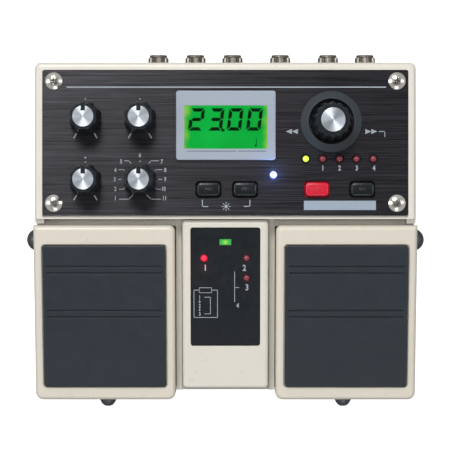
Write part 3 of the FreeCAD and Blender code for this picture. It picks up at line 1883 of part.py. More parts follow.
failed = [thing.Name for thing in doc.Objects if {"Invalid", "Error"} & set(thing.State)]
if failed:
    raise RuntimeError("failed objects: " + ", ".join(failed))
os.makedirs("parts", exist_ok=True)
for node in nodes:
    shape = node.Shape
    if shape.isNull() or not shape.isValid() or not shape.Solids:
        raise RuntimeError("bad shape: " + node.Label)
for node in nodes:
    node.Shape.exportStep(f"parts/{node.Label}.step")
    print(f"{node.Label}: {len(node.Shape.Solids)} solids, {node.Shape.Volume:.1f} mm3")
print(len(nodes), "nodes")
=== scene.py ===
"""Looks of the delay pedal: camera, light, materials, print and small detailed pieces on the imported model."""

import math

import bmesh
import bpy
from mathutils import Matrix, Vector


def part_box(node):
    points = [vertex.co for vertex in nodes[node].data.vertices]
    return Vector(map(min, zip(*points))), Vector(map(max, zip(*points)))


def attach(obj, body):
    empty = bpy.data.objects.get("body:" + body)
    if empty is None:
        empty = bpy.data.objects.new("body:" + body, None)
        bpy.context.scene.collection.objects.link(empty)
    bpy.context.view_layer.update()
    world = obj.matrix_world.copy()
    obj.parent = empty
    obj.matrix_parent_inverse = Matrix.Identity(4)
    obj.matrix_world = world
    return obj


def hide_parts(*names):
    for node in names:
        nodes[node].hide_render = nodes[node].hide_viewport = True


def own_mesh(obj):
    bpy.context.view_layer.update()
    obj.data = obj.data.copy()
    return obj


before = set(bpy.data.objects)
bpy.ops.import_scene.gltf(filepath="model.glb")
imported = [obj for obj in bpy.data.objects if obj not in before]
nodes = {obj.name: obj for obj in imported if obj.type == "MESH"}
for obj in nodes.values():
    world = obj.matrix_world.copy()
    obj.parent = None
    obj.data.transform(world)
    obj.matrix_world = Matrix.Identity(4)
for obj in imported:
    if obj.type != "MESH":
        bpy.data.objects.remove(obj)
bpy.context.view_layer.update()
scene = bpy.context.scene

MM = 0.001

# Faces that carry print, in millimetres: three heights, the label's depth in the cover, a wall's Y.
PANEL = 39.5
BEZEL = 40.7
SCREEN = 39.1
LABEL = -0.5
REAR_WALL = 76.5
SUNK, RAISED = 0.05, 0.03

# The zero of the drawings on the cover between the pedals, and the tilt of its slope.
COVER_ZERO = (0.0, 5.05, 37.99)
SLOPE = math.atan2(12.5, 79.0)

# Places on the panel and the rear wall, in millimetres.
KNOBS = {"level": (-63.1, 51.35), "feedback": (-38.5, 51.35), "tone": (-63.1, 23.45), "mode": (-38.5, 23.45)}
SOCKETS = (-30.85, -13.8, 3.25, 25.2, 47.15, 64.2)
LAMP_ROW = (36.2, 43.9, 51.5, 59.1, 66.7)
LAMP_ROW_Y = 32.95
END_MARK = 150

CAMERA_PLACE = (0.0021, 0.00085, 0.85)
CAMERA_LENS, SENSOR = 140.7, 36.0

# The room's brightness by the height of a direction: from, to, the value before and the value after.
OVERHEAD = (0.72, 0.96, 0.60, 0.08)
HORIZON = (-0.1, 0.4, 0.35, 1.0)

# Each lamp of the studio: name, place in metres, size, watts, colour.
STUDIO = (
    ("rear_light", (-0.22, 0.70, 1.05), (0.40, 0.3), 9.1, (1.0, 0.99, 0.975)),
    ("left_light", (-1.0, 0.1, 0.95), (0.45, 0.6), 3.1, (0.98, 0.99, 1.0)),
    ("right_light", (0.98, 0.15, 0.95), (0.35, 0.5), 2.2, (0.99, 0.995, 1.0)),
    ("front_light", (0.1, -0.95, 0.95), (0.5, 0.35), 1.6, (1.0, 1.0, 1.0)),
)
TOP_LIGHT = ("top_light", (0.0, 0.05, 1.4), (0.4, 0.4), 2.6, (1.0, 1.0, 1.0))
FLOOR_REACH, FLOOR_DEPTH = 3.0, 0.0002
BACKDROP_REACH = 6.0


# ---------------------------------------------------------------- camera and light


MAP_SOCKETS = ("From Min", "From Max", "To Min", "To Max")


def add_camera():
    data = bpy.data.cameras.new("camera")
    data.lens = CAMERA_LENS
    data.sensor_width = SENSOR
    camera = bpy.data.objects.new("camera", data)
    camera.location = CAMERA_PLACE
    scene.collection.objects.link(camera)
    scene.camera = camera


def add_area(name, place, size, power, colour, mirrored=True):
    """A flat light that faces the part. Without mirrored, no glossy face shows it."""
    data = bpy.data.lights.new(name, "AREA")
    data.shape = "RECTANGLE"
    data.size, data.size_y = size
    data.energy = power
    data.color = colour
    light = bpy.data.objects.new(name, data)
    light.location = place
    light.rotation_euler = (-Vector(place)).to_track_quat("-Z", "Y").to_euler()
    light.visible_glossy = mirrored
    scene.collection.objects.link(light)


def add_glow(name, place, power, colour):
    """The light that a lamp throws on what is round it, at a place in millimetres."""
    data = bpy.data.lights.new(name, "POINT")
    data.energy = power
    data.color = colour
    data.shadow_soft_size = 0.001
    light = bpy.data.objects.new(name, data)
    light.location = Vector(place) * MM
    light.visible_glossy = False
    scene.collection.objects.link(light)


def add_world():
    """A pale room that is darker straight above, round the camera, and below the horizon."""
    world = bpy.data.worlds.new("studio")
    world.use_nodes = True
    tree = world.node_tree
    sky = tree.nodes["Background"]
    sky.inputs["Color"].default_value = (1.0, 1.0, 1.0, 1.0)
    place = tree.nodes.new("ShaderNodeTexCoord")
    split = tree.nodes.new("ShaderNodeSeparateXYZ")
    tree.links.new(place.outputs["Generated"], split.inputs["Vector"])
    product = tree.nodes.new("ShaderNodeMath")
    product.operation = "MULTIPLY"
    for socket, band in zip(product.inputs, (OVERHEAD, HORIZON)):
        fade = tree.nodes.new("ShaderNodeMapRange")
        fade.interpolation_type = "SMOOTHSTEP"
        for name, value in zip(MAP_SOCKETS, band):
            fade.inputs[name].default_value = value
        tree.links.new(split.outputs["Z"], fade.inputs["Value"])
        tree.links.new(fade.outputs["Result"], socket)
    tree.links.new(product.outputs["Value"], sky.inputs["Strength"])
    scene.world = world


add_camera()
add_world()
for light in STUDIO:
    add_area(*light)
add_area(*TOP_LIGHT, mirrored=False)
add_glow("blue_glow", (21.7, 25.75, 42.5), 0.005, (0.2, 0.35, 1.0))
add_glow("red_glow", (-9.7, -16.8, 37.5), 0.0006, (1.0, 0.05, 0.08))
scene.view_settings.view_transform = "Standard"


# ---------------------------------------------------------------- materials


class Finish:
    """A procedural material in the making, measured in the object's own metres."""

    def __init__(self, name, colour, roughness, metallic=0.0):
        self.material = bpy.data.materials.new(name)
        self.material.use_nodes = True
        self.tree = self.material.node_tree
        self.shader = self.tree.nodes["Principled BSDF"]
        self.colour = colour
        self.set("Base Color", (*colour, 1.0))
        self.set("Roughness", roughness)
        self.set("Metallic", metallic)
        self.place = self.tree.nodes.new("ShaderNodeTexCoord").outputs["Object"]
        self.normal = None

    def set(self, socket, value):
        self.shader.inputs[socket].default_value = value

    def link(self, output, socket):
        self.tree.links.new(output, socket)

    def node(self, kind, **values):
        made = self.tree.nodes.new(kind)
        for name, value in values.items():
            setattr(made, name, value)
        return made

    def stretched(self, x, y, z):
        """The place in the object, with each axis scaled."""
        mapping = self.node("ShaderNodeMapping")
        mapping.inputs["Scale"].default_value = (x, y, z)
        self.link(self.place, mapping.inputs["Vector"])
        return mapping.outputs["Vector"]

    def noise(self, size_mm, detail=2.0, rough=0.5, place=None):
        """A noise whose spots are about that many millimetres across."""
        texture = self.node("ShaderNodeTexNoise")
        texture.inputs["Scale"].default_value = 1.0 / (size_mm * MM)
        texture.inputs["Detail"].default_value = detail
        texture.inputs["Roughness"].default_value = rough
        self.link(place or self.place, texture.inputs["Vector"])
        return texture.outputs["Fac"]

    def map(self, value, low, high, new_low, new_high, smooth=False):
        ranged = self.node("ShaderNodeMapRange", interpolation_type="SMOOTHSTEP" if smooth else "LINEAR")
        for socket, limit in zip(MAP_SOCKETS, (low, high, new_low, new_high)):
            ranged.inputs[socket].default_value = limit
        self.link(value, ranged.inputs["Value"])
        return ranged.outputs["Result"]

    def mix(self, factor, first, second):
        """One colour to another, each a colour or the output of a mix."""
        mixed = self.node("ShaderNodeMix", data_type="RGBA")
        self.link(factor, mixed.inputs["Factor"])
        for socket, colour in ((mixed.inputs[6], first), (mixed.inputs[7], second)):
            if isinstance(colour, tuple):
                socket.default_value = (*colour, 1.0)
            else:
                self.link(colour, socket)
        return mixed.outputs[2]

    def paint(self, colour):
        self.link(colour, self.shader.inputs["Base Color"])

    def vary(self, factor, spread):
        """Lighter and darker colour by a factor from 0 to 1."""
        low = tuple(part * (1.0 - spread) for part in self.colour)
        high = tuple(min(1.0, part * (1.0 + spread)) for part in self.colour)
        self.paint(self.mix(factor, low, high))

    def gloss(self, factor, low, high):
        """Roughness from low to high."""
        self.link(self.map(factor, 0.3, 0.7, low, high), self.shader.inputs["Roughness"])

    def bump(self, height, depth_mm, strength=1.0):
        bump = self.node("ShaderNodeBump")
        bump.inputs["Strength"].default_value = strength
        bump.inputs["Distance"].default_value = depth_mm * MM
        self.link(height, bump.inputs["Height"])
        if self.normal is not None:
            self.link(self.normal, bump.inputs["Normal"])
        self.normal = bump.outputs["Normal"]
        self.link(self.normal, self.shader.inputs["Normal"])

    def soften(self, radius_mm):
        """Rounds sharp edges in the light. It comes before the bumps."""
        bevel = self.node("ShaderNodeBevel", samples=6)
        bevel.inputs["Radius"].default_value = radius_mm * MM
        self.normal = bevel.outputs["Normal"]
        self.link(self.normal, self.shader.inputs["Normal"])

    def axis(self, which):
        split = self.node("ShaderNodeSeparateXYZ")
        self.link(self.place, split.inputs["Vector"])
        return split.outputs[which]

    def centred(self, middle=(-0.5, -0.5, 0.0), scale=(1.0, 1.0, 1.0)):
        """The place in the piece's own box, from a middle given in parts of the box."""
        mapping = self.node("ShaderNodeMapping")
        mapping.inputs["Location"].default_value = middle
        mapping.inputs["Scale"].default_value = scale
        self.link(self.node("ShaderNodeTexCoord").outputs["Generated"], mapping.inputs["Vector"])
        return mapping.outputs["Vector"]

    def math(self, operation, first, second=None):
        made = self.node("ShaderNodeMath", operation=operation)
        for socket, value in zip(made.inputs, (first, second)):
            if value is None:
                continue
            if isinstance(value, (int, float)):
                socket.default_value = value
            else:
                self.link(value, socket)
        return made.outputs["Value"]

    def glow(self, colour, strength):
        """Light of one colour, or of a colour output."""
        if isinstance(colour, tuple):
            self.set("Emission Color", (*colour, 1.0))
        else:
            self.link(colour, self.shader.inputs["Emission Color"])
        self.set("Emission Strength", strength)


def coated(name, colour, roughness, spots, sheen, grains=(), metallic=0.0, edge_mm=0.0):
    """A plain coat.

    spots: size in mm, detail and spread of the lighter and darker spots
    sheen: size in mm and detail of the gloss, lowest and highest roughness
    grains: size in mm, detail, depth in mm and strength of each grain
    edge_mm: how far sharp edges are rounded in the light
    """
    finish = Finish(name, colour, roughness, metallic)
    if edge_mm:
        finish.soften(edge_mm)
    size, detail, spread = spots
    finish.vary(finish.noise(size, detail), spread)
    size, detail, low, high = sheen
    finish.gloss(finish.noise(size, detail), low, high)
    for size, detail, depth, strength in grains:
        finish.bump(finish.noise(size, detail), depth, strength)
    return finish


def cream_paint(name, colour):
    spots, sheen = (26.0, 3.0, 0.02), (6.0, 3.0, 0.27, 0.36)
    grains = ((0.9, 2.0, 0.01, 0.5), (0.22, 1.0, 0.003, 0.5))
    return coated(name, colour, 0.42, spots, sheen, grains, edge_mm=0.35).material


def tread_rubber():
    spots, sheen, grains = (20.0, 3.0, 0.1), (5.0, 3.0, 0.42, 0.52), ((0.35, 2.0, 0.012, 0.5),)
    return coated("tread_rubber", (0.0115, 0.0180, 0.0248), 0.5, spots, sheen, grains, edge_mm=0.35).material


def bright_metal(name, colour, spread, low, high):
    spots, sheen, grains = (1.6, 3.0, spread), (1.1, 3.0, low, high), ((0.9, 1.0, 0.003, 0.4),)
    return coated(name, colour, 0.2, spots, sheen, grains, metallic=1.0, edge_mm=0.18).material


def knurled_nickel():
    spots, sheen, grains = (1.6, 3.0, 0.08), (1.1, 3.0, 0.24, 0.36), ((0.5, 2.0, 0.01, 0.5),)
    return coated("knurled_nickel", (0.27, 0.25, 0.215), 0.34, spots, sheen, grains, metallic=1.0).material


def wound_steel():
    spots, sheen = (1.0, 3.0, 0.12), (0.8, 2.0, 0.22, 0.4)
    return coated("wound_steel", (0.42, 0.42, 0.43), 0.3, spots, sheen, metallic=1.0).material


def dark_screw():
    spots, sheen, grains = (1.8, 3.0, 0.15), (1.5, 3.0, 0.26, 0.42), ((0.3, 2.0, 0.006, 0.5),)
    colour = (0.10, 0.108, 0.118)
    return coated("dark_screw", colour, 0.34, spots, sheen, grains, metallic=0.7, edge_mm=0.25).material


def plastic(name, colour, roughness, grain_mm=0.3, depth_mm=0.006, spread=0.08, edge_mm=0.25):
    sheen = (2.5, 3.0, roughness - 0.04, roughness + 0.06)
    grains = ((grain_mm, 2.0, depth_mm, 0.5),)
    return coated(name, colour, roughness, (8.0, 3.0, spread), sheen, grains, edge_mm=edge_mm).material


def button_plastic(name, colour, roughness):
    """Smooth plastic whose flat top takes the light as if slightly domed."""
    sheen = (2.5, 3.0, roughness - 0.04, roughness + 0.05)
    finish = coated(name, colour, roughness, (8.0, 3.0, 0.05), sheen, edge_mm=0.75)
    centred = finish.centred(scale=(1.0, 1.0, 0.0))
    reach = finish.node("ShaderNodeVectorMath", operation="DOT_PRODUCT")
    finish.link(centred, reach.inputs[0])
    finish.link(centred, reach.inputs[1])
    finish.bump(finish.math("SUBTRACT", 1.0, reach.outputs["Value"]), 1.8)
    finish.bump(finish.noise(0.25, 2.0), 0.004, 0.5)
    return finish.material


def dish_black():
    """Satin black of the dished ring, which hardly mirrors the lamps beside it."""
    spots, sheen, grains = (8.0, 3.0, 0.08), (2.5, 3.0, 0.36, 0.46), ((0.3, 2.0, 0.005, 0.5),)
    finish = coated("dish_black", (0.040, 0.048, 0.055), 0.42, spots, sheen, grains, edge_mm=0.45)
    finish.set("Specular IOR Level", 0.22)
    return finish.material


def printed_ink(name, colour, shine=0.5):
    finish = coated(name, colour, 0.5, (0.5, 3.0, 0.06), (1.0, 2.0, 0.42, 0.6))
    finish.set("Specular IOR Level", shine)
    return finish.material


def brushed_panel():
    finish = Finish("brushed_panel", (0.03, 0.029, 0.031), 0.34, 0.55)
    finish.soften(0.2)
    finish.set("Anisotropic", 0.85)
    brushing = finish.node("ShaderNodeCombineXYZ")
    brushing.inputs["Y"].default_value = 1.0
    finish.link(brushing.outputs["Vector"], finish.shader.inputs["Tangent"])
    long_lines = finish.noise(1.0, 3.0, 0.6, finish.stretched(0.022, 5.5, 1.0))
    fine_lines = finish.noise(1.0, 2.0, 0.5, finish.stretched(0.07, 15.0, 1.0))
    streak = finish.math("MULTIPLY", long_lines, fine_lines)
    bright = finish.map(streak, 0.16, 0.36, 0.0, 1.0)
    finish.paint(finish.mix(bright, (0.0080, 0.0080, 0.0105), (0.050, 0.048, 0.058)))
    finish.gloss(long_lines, 0.25, 0.34)
    finish.bump(fine_lines, 0.01, 0.6)
    return finish.material


def zinc_steel():
    finish = Finish("zinc_steel", (0.52, 0.54, 0.56), 0.4, 0.9)
    finish.soften(0.2)
    spots = finish.node("ShaderNodeTexVoronoi")
    spots.inputs["Scale"].default_value = 260.0
    finish.link(finish.place, spots.inputs["Vector"])
    finish.vary(finish.map(spots.outputs["Distance"], 0.0, 1.0, 0.2, 0.8), 0.12)
    finish.gloss(finish.noise(3.0, 3.0), 0.32, 0.5)
    finish.bump(finish.noise(0.5, 2.0), 0.01, 0.4)
    return finish.material


def ground_rubber():
    finish = Finish("ground_rubber", (0.022, 0.022, 0.023), 0.78)
    finish.soften(0.3)
    finish.vary(finish.noise(9.0, 4.0), 0.3)
    cells = finish.node("ShaderNodeTexVoronoi")
    cells.inputs["Scale"].default_value = 900.0
    finish.link(finish.place, cells.inputs["Vector"])
    finish.bump(cells.outputs["Distance"], 0.12, 0.6)
    return finish.material


def spun_aluminium(name):
    """A turned face: fine rings round the middle of the piece's own box."""
    finish = Finish(name, (0.65, 0.70, 0.77), 0.44, 1.0)
    finish.set("Anisotropic", 0.72)
    finish.set("Anisotropic Rotation", 0.25)
    tangent = finish.node("ShaderNodeTangent", direction_type="RADIAL", axis="Z")
    finish.link(tangent.outputs["Tangent"], finish.shader.inputs["Tangent"])
    rings = finish.node("ShaderNodeTexWave", wave_type="RINGS", rings_direction="Z")
    rings.inputs["Scale"].default_value = 22.0
    rings.inputs["Distortion"].default_value = 0.4
    finish.link(finish.centred(), rings.inputs["Vector"])
    finish.vary(rings.outputs["Fac"], 0.05)
    finish.bump(rings.outputs["Fac"], 0.004, 0.5)
    return finish.material


def display_glow():
    """The lit screen: green, with a yellow glow from its side lamps at both ends."""
    finish = Finish("display_glow", (0.004, 0.05, 0.01), 0.4)
    x = finish.axis("X")
    reach = finish.math("ABSOLUTE", finish.math("SUBTRACT", x, 0.00025))
    patchy = finish.math("MULTIPLY", finish.map(finish.noise(7.0, 1.0), 0.35, 0.65, 0.0, 1.0), 0.0026)
    side = finish.map(finish.math("ADD", reach, patchy), 0.0166, 0.0218, 0.0, 1.0, smooth=True)
    cloud = finish.map(finish.noise(14.0, 1.0), 0.3, 0.7, 0.0, 1.0)
    middle = finish.mix(cloud, (0.004, 0.40, 0.045), (0.006, 0.47, 0.060))
    finish.glow(finish.mix(side, middle, (0.34, 0.62, 0.075)), 0.9)
    return finish.material


def clear_window():
    finish = Finish("clear_window", (0.95, 0.98, 0.96), 0.05)
    finish.set("Transmission Weight", 1.0)
    finish.set("IOR", 1.12)
    finish.gloss(finish.noise(4.0, 2.0), 0.02, 0.08)
    return finish.material


def circuit_board():
    finish = Finish("circuit_board", (0.012, 0.11, 0.045), 0.35)
    traces = finish.node("ShaderNodeTexBrick")
    traces.inputs["Scale"].default_value = 220.0
    traces.inputs["Mortar Size"].default_value = 0.05
    traces.inputs["Color1"].default_value = (0.010, 0.095, 0.04, 1.0)
    traces.inputs["Color2"].default_value = (0.014, 0.13, 0.05, 1.0)
    traces.inputs["Mortar"].default_value = (0.03, 0.20, 0.08, 1.0)
    finish.link(finish.place, traces.inputs["Vector"])
    finish.paint(traces.outputs["Color"])
    finish.bump(traces.outputs["Fac"], 0.02, 0.5)
    return finish.material


COLLAR_START, THREAD_PITCH = 74.2, 0.75


def threaded_socket():
    """Black moulded plastic inside the wall, a plated threaded collar outside it."""
    finish = Finish("threaded_socket", (0.015, 0.015, 0.016), 0.4)
    finish.soften(0.15)
    y = finish.axis("Y")
    outside = finish.math("GREATER_THAN", y, COLLAR_START * MM)
    grain = finish.map(finish.noise(2.0, 3.0), 0.3, 0.7, 0.0, 1.0)
    black = finish.mix(grain, (0.012, 0.012, 0.013), (0.02, 0.02, 0.021))
    plated = finish.mix(grain, (0.26, 0.24, 0.20), (0.34, 0.31, 0.27))
    finish.paint(finish.mix(outside, black, plated))
    finish.link(outside, finish.shader.inputs["Metallic"])
    thread = finish.math("SINE", finish.math("MULTIPLY", y, 2.0 * math.pi / (THREAD_PITCH * MM)))
    finish.bump(finish.math("MULTIPLY", thread, outside), 0.09, 0.8)
    return finish.material


def lamp_lens(name, body, light=None, strength=1.0):
    """A clear-coated lens, which shines when a light is given."""
    finish = Finish(name, body, 0.16)
    finish.set("Coat Weight", 0.6)
    finish.set("Coat Roughness", 0.05)
    finish.vary(finish.noise(1.2, 2.0), 0.15)
    finish.bump(finish.noise(0.6, 1.0), 0.01, 0.4)
    if light:
        finish.glow(light, strength)
    return finish.material


def power_lamp():
    """A square green lamp whose middle is yellow with light."""
    finish = Finish("power_lamp_on", (0.02, 0.2, 0.03), 0.3)
    reach = finish.node("ShaderNodeVectorMath", operation="LENGTH")
    finish.link(finish.centred((-0.5, -0.3, 0.0), (1.0, 0.9, 0.0)), reach.inputs[0])
    edge = finish.map(reach.outputs["Value"], 0.02, 0.38, 0.0, 1.0, smooth=True)
    finish.glow(finish.mix(edge, (0.36, 0.66, 0.06), (0.030, 0.28, 0.055)), 0.85)
    return finish.material


def cell_jacket():
    """A cell's printed sleeve in two plain colours."""
    finish = Finish("cell_jacket", (0.03, 0.032, 0.036), 0.32)
    y = finish.axis("Y")
    band = finish.math("GREATER_THAN", y, -0.0262)
    cap = finish.math("GREATER_THAN", y, -0.0138)
    sleeve = finish.mix(band, (0.03, 0.032, 0.036), (0.46, 0.20, 0.06))
    finish.paint(finish.mix(cap, sleeve, (0.62, 0.62, 0.60)))
    finish.set("Metallic", 0.4)
    finish.bump(finish.noise(1.5, 2.0), 0.02, 0.4)
    return finish.material


CREAM = cream_paint("cream_paint", (0.622, 0.598, 0.533))
PEDAL_CREAM = cream_paint("pedal_cream", (0.615, 0.572, 0.493))
NICKEL = bright_metal("bright_nickel", (0.80, 0.78, 0.72), 0.04, 0.12, 0.2)
KNURLED = knurled_nickel()
DARK_SCREW = dark_screw()
KNOB_BLACK = plastic("knob_black", (0.010, 0.0135, 0.016), 0.26, 0.4, 0.003, edge_mm=0.4)
PART_BLACK = plastic("part_black", (0.018, 0.018, 0.019), 0.45)
DARK_PLASTIC = plastic("dark_plastic", (0.03, 0.03, 0.032), 0.42)
BUTTON_BLACK = button_plastic("button_black", (0.007, 0.0095, 0.012), 0.27)
RED_OFF = lamp_lens("red_lamp_off", (0.20, 0.018, 0.028))
RED_ON = lamp_lens("red_lamp_on", (0.4, 0.008, 0.03), (0.66, 0.006, 0.04))
GREEN_ON = lamp_lens("green_lamp_on", (0.2, 0.5, 0.05), (0.75, 0.98, 0.06))
POWER_ON = power_lamp()
BLUE_ON = lamp_lens("blue_lamp_on", (0.3, 0.35, 0.8), (0.17, 0.20, 1.0), 4.5)
PRINT_LIGHT = printed_ink("print_light", (0.29, 0.323, 0.365))
PRINT_BLUE = printed_ink("print_blue", (0.265, 0.325, 0.395))
PRINT_DARK = printed_ink("print_dark", (0.025, 0.03, 0.04))
DIGIT_BLACK = printed_ink("digit_black", (0.0015, 0.014, 0.004), 0.0)
# Near-black ink for the rings round the lamps: painted shade of the gaps between the lamps and their holes in
# the panel.
LAMP_HOLE_SHADE = printed_ink("painted_hole_shade", (0.002, 0.002, 0.0025), 0.2)
BOARD = circuit_board()

NODE_FINISH = {
    "chassis": CREAM,
    "centre_cover": CREAM,
    "left_pedal": PEDAL_CREAM,
    "right_pedal": PEDAL_CREAM,
    "base_plate": zinc_steel(),
    "base_sheet": ground_rubber(),
    "base_screws": NICKEL,
    "panel_plate": brushed_panel(),
    "panel_screws": bright_metal("polished_screw", (0.60, 0.58, 0.53), 0.05, 0.15, 0.24),
    "control_board": BOARD,
    "main_board": BOARD,
    "centre_board": BOARD,
    "rotary_bodies": PART_BLACK,
    "encoder_body": PART_BLACK,
    "tact_switches": PART_BLACK,
    "foot_switches": PART_BLACK,
    "green_lamp": GREEN_ON,
    "blue_lamp": BLUE_ON,
    "power_lamp": POWER_ON,
    "display_bezel": plastic("bezel_grey", (0.282, 0.326, 0.388), 0.4, 0.3, 0.006, 0.03, 0.3),
    "display_lens": clear_window(),
    "display_module": display_glow(),
    "jack_bodies": threaded_socket(),
    "jack_washers": KNURLED,
    "jack_nuts": KNURLED,
    "power_inlet": PART_BLACK,
    "power_switch_body": PART_BLACK,
    "power_slider": DARK_PLASTIC,
    "label_plate": plastic("label_dark", (0.0055, 0.0080, 0.0110), 0.34, 0.4, 0.004),
    "hinge_rods": DARK_SCREW,
    "battery_holders": DARK_PLASTIC,
    "battery_cells": cell_jacket(),
    "time_ring": dish_black(),
    "time_plunger": DARK_PLASTIC,
    "time_knob": KNOB_BLACK,
    "left_tread": tread_rubber(),
    "tap_button": BUTTON_BLACK,
    "tempo_button": BUTTON_BLACK,
    "select_button": BUTTON_BLACK,
    "store_button": button_plastic("button_red", (0.55, 0.009, 0.030), 0.3),
}
NODE_FINISH["right_tread"] = NODE_FINISH["left_tread"]
for control in (*KNOBS, "time"):
    NODE_FINISH[control + "_cap"] = spun_aluminium(control + "_cap_face")
    NODE_FINISH[control + "_shaft"] = NODE_FINISH[control + "_cap"]
    NODE_FINISH[control + "_knob"] = KNOB_BLACK

for node, finish in NODE_FINISH.items():
    nodes[node].data.materials.clear()
    nodes[node].data.materials.append(finish)


# ---------------------------------------------------------------- mesh tools


def finished(name, mesh, body, material, smooth=False):
    """Turns a mesh in millimetres into a piece that rides on a body."""
    bmesh.ops.recalc_face_normals(mesh, faces=mesh.faces)
    bmesh.ops.scale(mesh, vec=(MM, MM, MM), verts=mesh.verts)
    data = bpy.data.meshes.new(name)
    mesh.to_mesh(data)
    mesh.free()
    for face in data.polygons:
        face.use_smooth = smooth
    data.materials.append(material)
    piece = bpy.data.objects.new(name, data)
    scene.collection.objects.link(piece)
    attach(piece, body)
    return piece


def prism(mesh, outline, low, high):
    """A closed prism over a flat outline."""
    bottom = [mesh.verts.new((x, y, low)) for x, y in outline]
    top = [mesh.verts.new((x, y, high)) for x, y in outline]
    mesh.faces.new(bottom[::-1])
    mesh.faces.new(top)
    for step in range(len(outline)):
        after = (step + 1) % len(outline)
        mesh.faces.new((bottom[step], bottom[after], top[after], top[step]))


def line(mesh, points, width, low, high):
    """Straight printed strokes through points, each lapping the next by half its width."""
    for start, end in zip(points, points[1:]):
        a, b = Vector(start), Vector(end)
        along = (b - a).normalized() * width / 2
        side = Vector((-along.y, along.x))
        prism(mesh, [a - along - side, b + along - side, b + along + side, a - along + side], low, high)


def spot(mesh, x, y, radius, low, high, steps=24):
    angles = [2 * math.pi * step / steps for step in range(steps)]
    prism(mesh, [(x + radius * math.cos(angle), y + radius * math.sin(angle)) for angle in angles], low, high)


# How much thicker than the typeface the numbers' strokes are, in parts of the type size.
BOLDER = 0.032


def number(mesh, text, x, y, height, low, high, width=0.8):
    """A plain number, centred at a place, from the built-in typeface."""
    curve = bpy.data.curves.new("number", "FONT")
    curve.body = text
    curve.align_x = "CENTER"
    curve.extrude = 0.5
    curve.offset = BOLDER
    made = bpy.data.objects.new("number", curve)
    data = bpy.data.meshes.new_from_object(made)
    xs = [vertex.co.x for vertex in data.vertices]
    ys = [vertex.co.y for vertex in data.vertices]
    scale = height / (max(ys) - min(ys))
    middle = ((max(xs) + min(xs)) / 2, (max(ys) + min(ys)) / 2)
    for vertex in data.vertices:
        place = vertex.co
        rise = low if place.z < 0 else high
        vertex.co = (x + (place.x - middle[0]) * scale * width, y + (place.y - middle[1]) * scale, rise)
    mesh.from_mesh(data)
    bpy.data.objects.remove(made)
    bpy.data.curves.remove(curve)
    bpy.data.meshes.remove(data)


def lathe(mesh, profile, steps, waves=None):
    """Turns a profile of (radius, height) round Z, with an optional radius factor by step and height."""
    rings = []
    for radius, height in profile:
        if radius == 0:
            rings.append([mesh.verts.new((0, 0, height))])
            continue
        ring = []
        for step in range(steps):
            angle = 2 * math.pi * step / steps
            reach = radius * waves(step, radius, height) if waves else radius
            ring.append(mesh.verts.new((reach * math.cos(angle), reach * math.sin(angle), height)))
        rings.append(ring)
    for low, high in zip(rings, rings[1:]):
        for step in range(steps):
            after = (step + 1) % steps
            if len(low) == 1:
                mesh.faces.new((low[0], high[after], high[step]))
            elif len(high) == 1:
                mesh.faces.new((low[step], low[after], high[0]))
            else:
                mesh.faces.new((low[step], low[after], high[after], high[step]))


def on_cover(mesh):
    """Sets a flat drawing, made with the cover's rear edge at Y 0, on the cover's slope."""
    turn = Matrix.Translation(COVER_ZERO) @ Matrix.Rotation(SLOPE, 4, "X")
    bmesh.ops.transform(mesh, matrix=turn, verts=mesh.verts)


# ---------------------------------------------------------------- print on the panel

LOW, HIGH = PANEL - SUNK, PANEL + RAISED
FINE_LINE = 0.32


def knob_ticks(mesh):
    for name, (x, y) in KNOBS.items():
        if name == "mode":
            continue
        for side in (-1, 1):
            angle = math.radians(END_MARK * side)
            tick = [(x + reach * math.sin(angle), y + reach * math.cos(angle)) for reach in (8.2, 10.3)]
            line(mesh, tick, 0.5, LOW, HIGH)
    spot(mesh, -63.1, 33.5, 0.42, LOW, HIGH)
    for x, y in ((-63.1, 60.2), (-38.5, 60.2), (-63.1, 31.8), (-38.5, 32.1)):
        prism(mesh, [(x - 0.4, y), (x + 0.4, y), (x, y - 0.8)], LOW, HIGH)


def mode_leaders(mesh):
    leaders = (
        ((-34.5, 30.9), (-33.45, 32.05), (-30.2, 32.05)),
        ((-31.6, 27.7), (-30.9, 28.05), (-28.6, 28.05)),
        ((-30.1, 23.7), (-28.6, 23.7)),
        ((-31.4, 19.7), (-30.9, 19.2), (-29.2, 19.2)),
        ((-35.3, 16.5), (-33.45, 14.75), (-29.2, 14.75)),
        ((-42.6, 30.9), (-43.55, 32.05), (-45.4, 32.05)),
        ((-45.4, 27.7), (-46.1, 28.05), (-48.0, 28.05)),
        ((-46.9, 23.7), (-48.2, 23.7)),
        ((-45.6, 19.7), (-46.1, 19.2), (-47.7, 19.2)),
        ((-41.7, 16.5), (-43.45, 14.75), (-47.8, 14.75)),
    )
    for points in leaders:
        line(mesh, points, FINE_LINE, LOW, HIGH)


def arrows(mesh):
    y = 45.25
    for tip, base in ((27.3, 30.0), (30.0, 32.7), (65.8, 63.1), (68.5, 65.8)):
        prism(mesh, [(tip, y), (base, y - 1.15), (base, y + 1.15)], LOW, HIGH)
    line(mesh, [(69.3, y), (71.9, y), (71.9, 42.9)], FINE_LINE, LOW, HIGH)


def light_sign(mesh):
    """A small sun between two brackets under the first two buttons."""
    line(mesh, [(-10.35, 14.3), (-10.35, 11.4), (-7.9, 11.4)], 0.4, LOW, HIGH)
    line(mesh, [(11.05, 14.3), (11.05, 11.5), (8.5, 11.5)], 0.4, LOW, HIGH)
    x, y = 0.35, 11.45
    spot(mesh, x, y, 0.75, LOW, HIGH)
    for step in range(8):
        angle = math.pi * step / 4
        ray = [(x + reach * math.cos(angle), y + reach * math.sin(angle)) for reach in (1.2, 1.9)]
        line(mesh, ray, 0.3, LOW, HIGH)


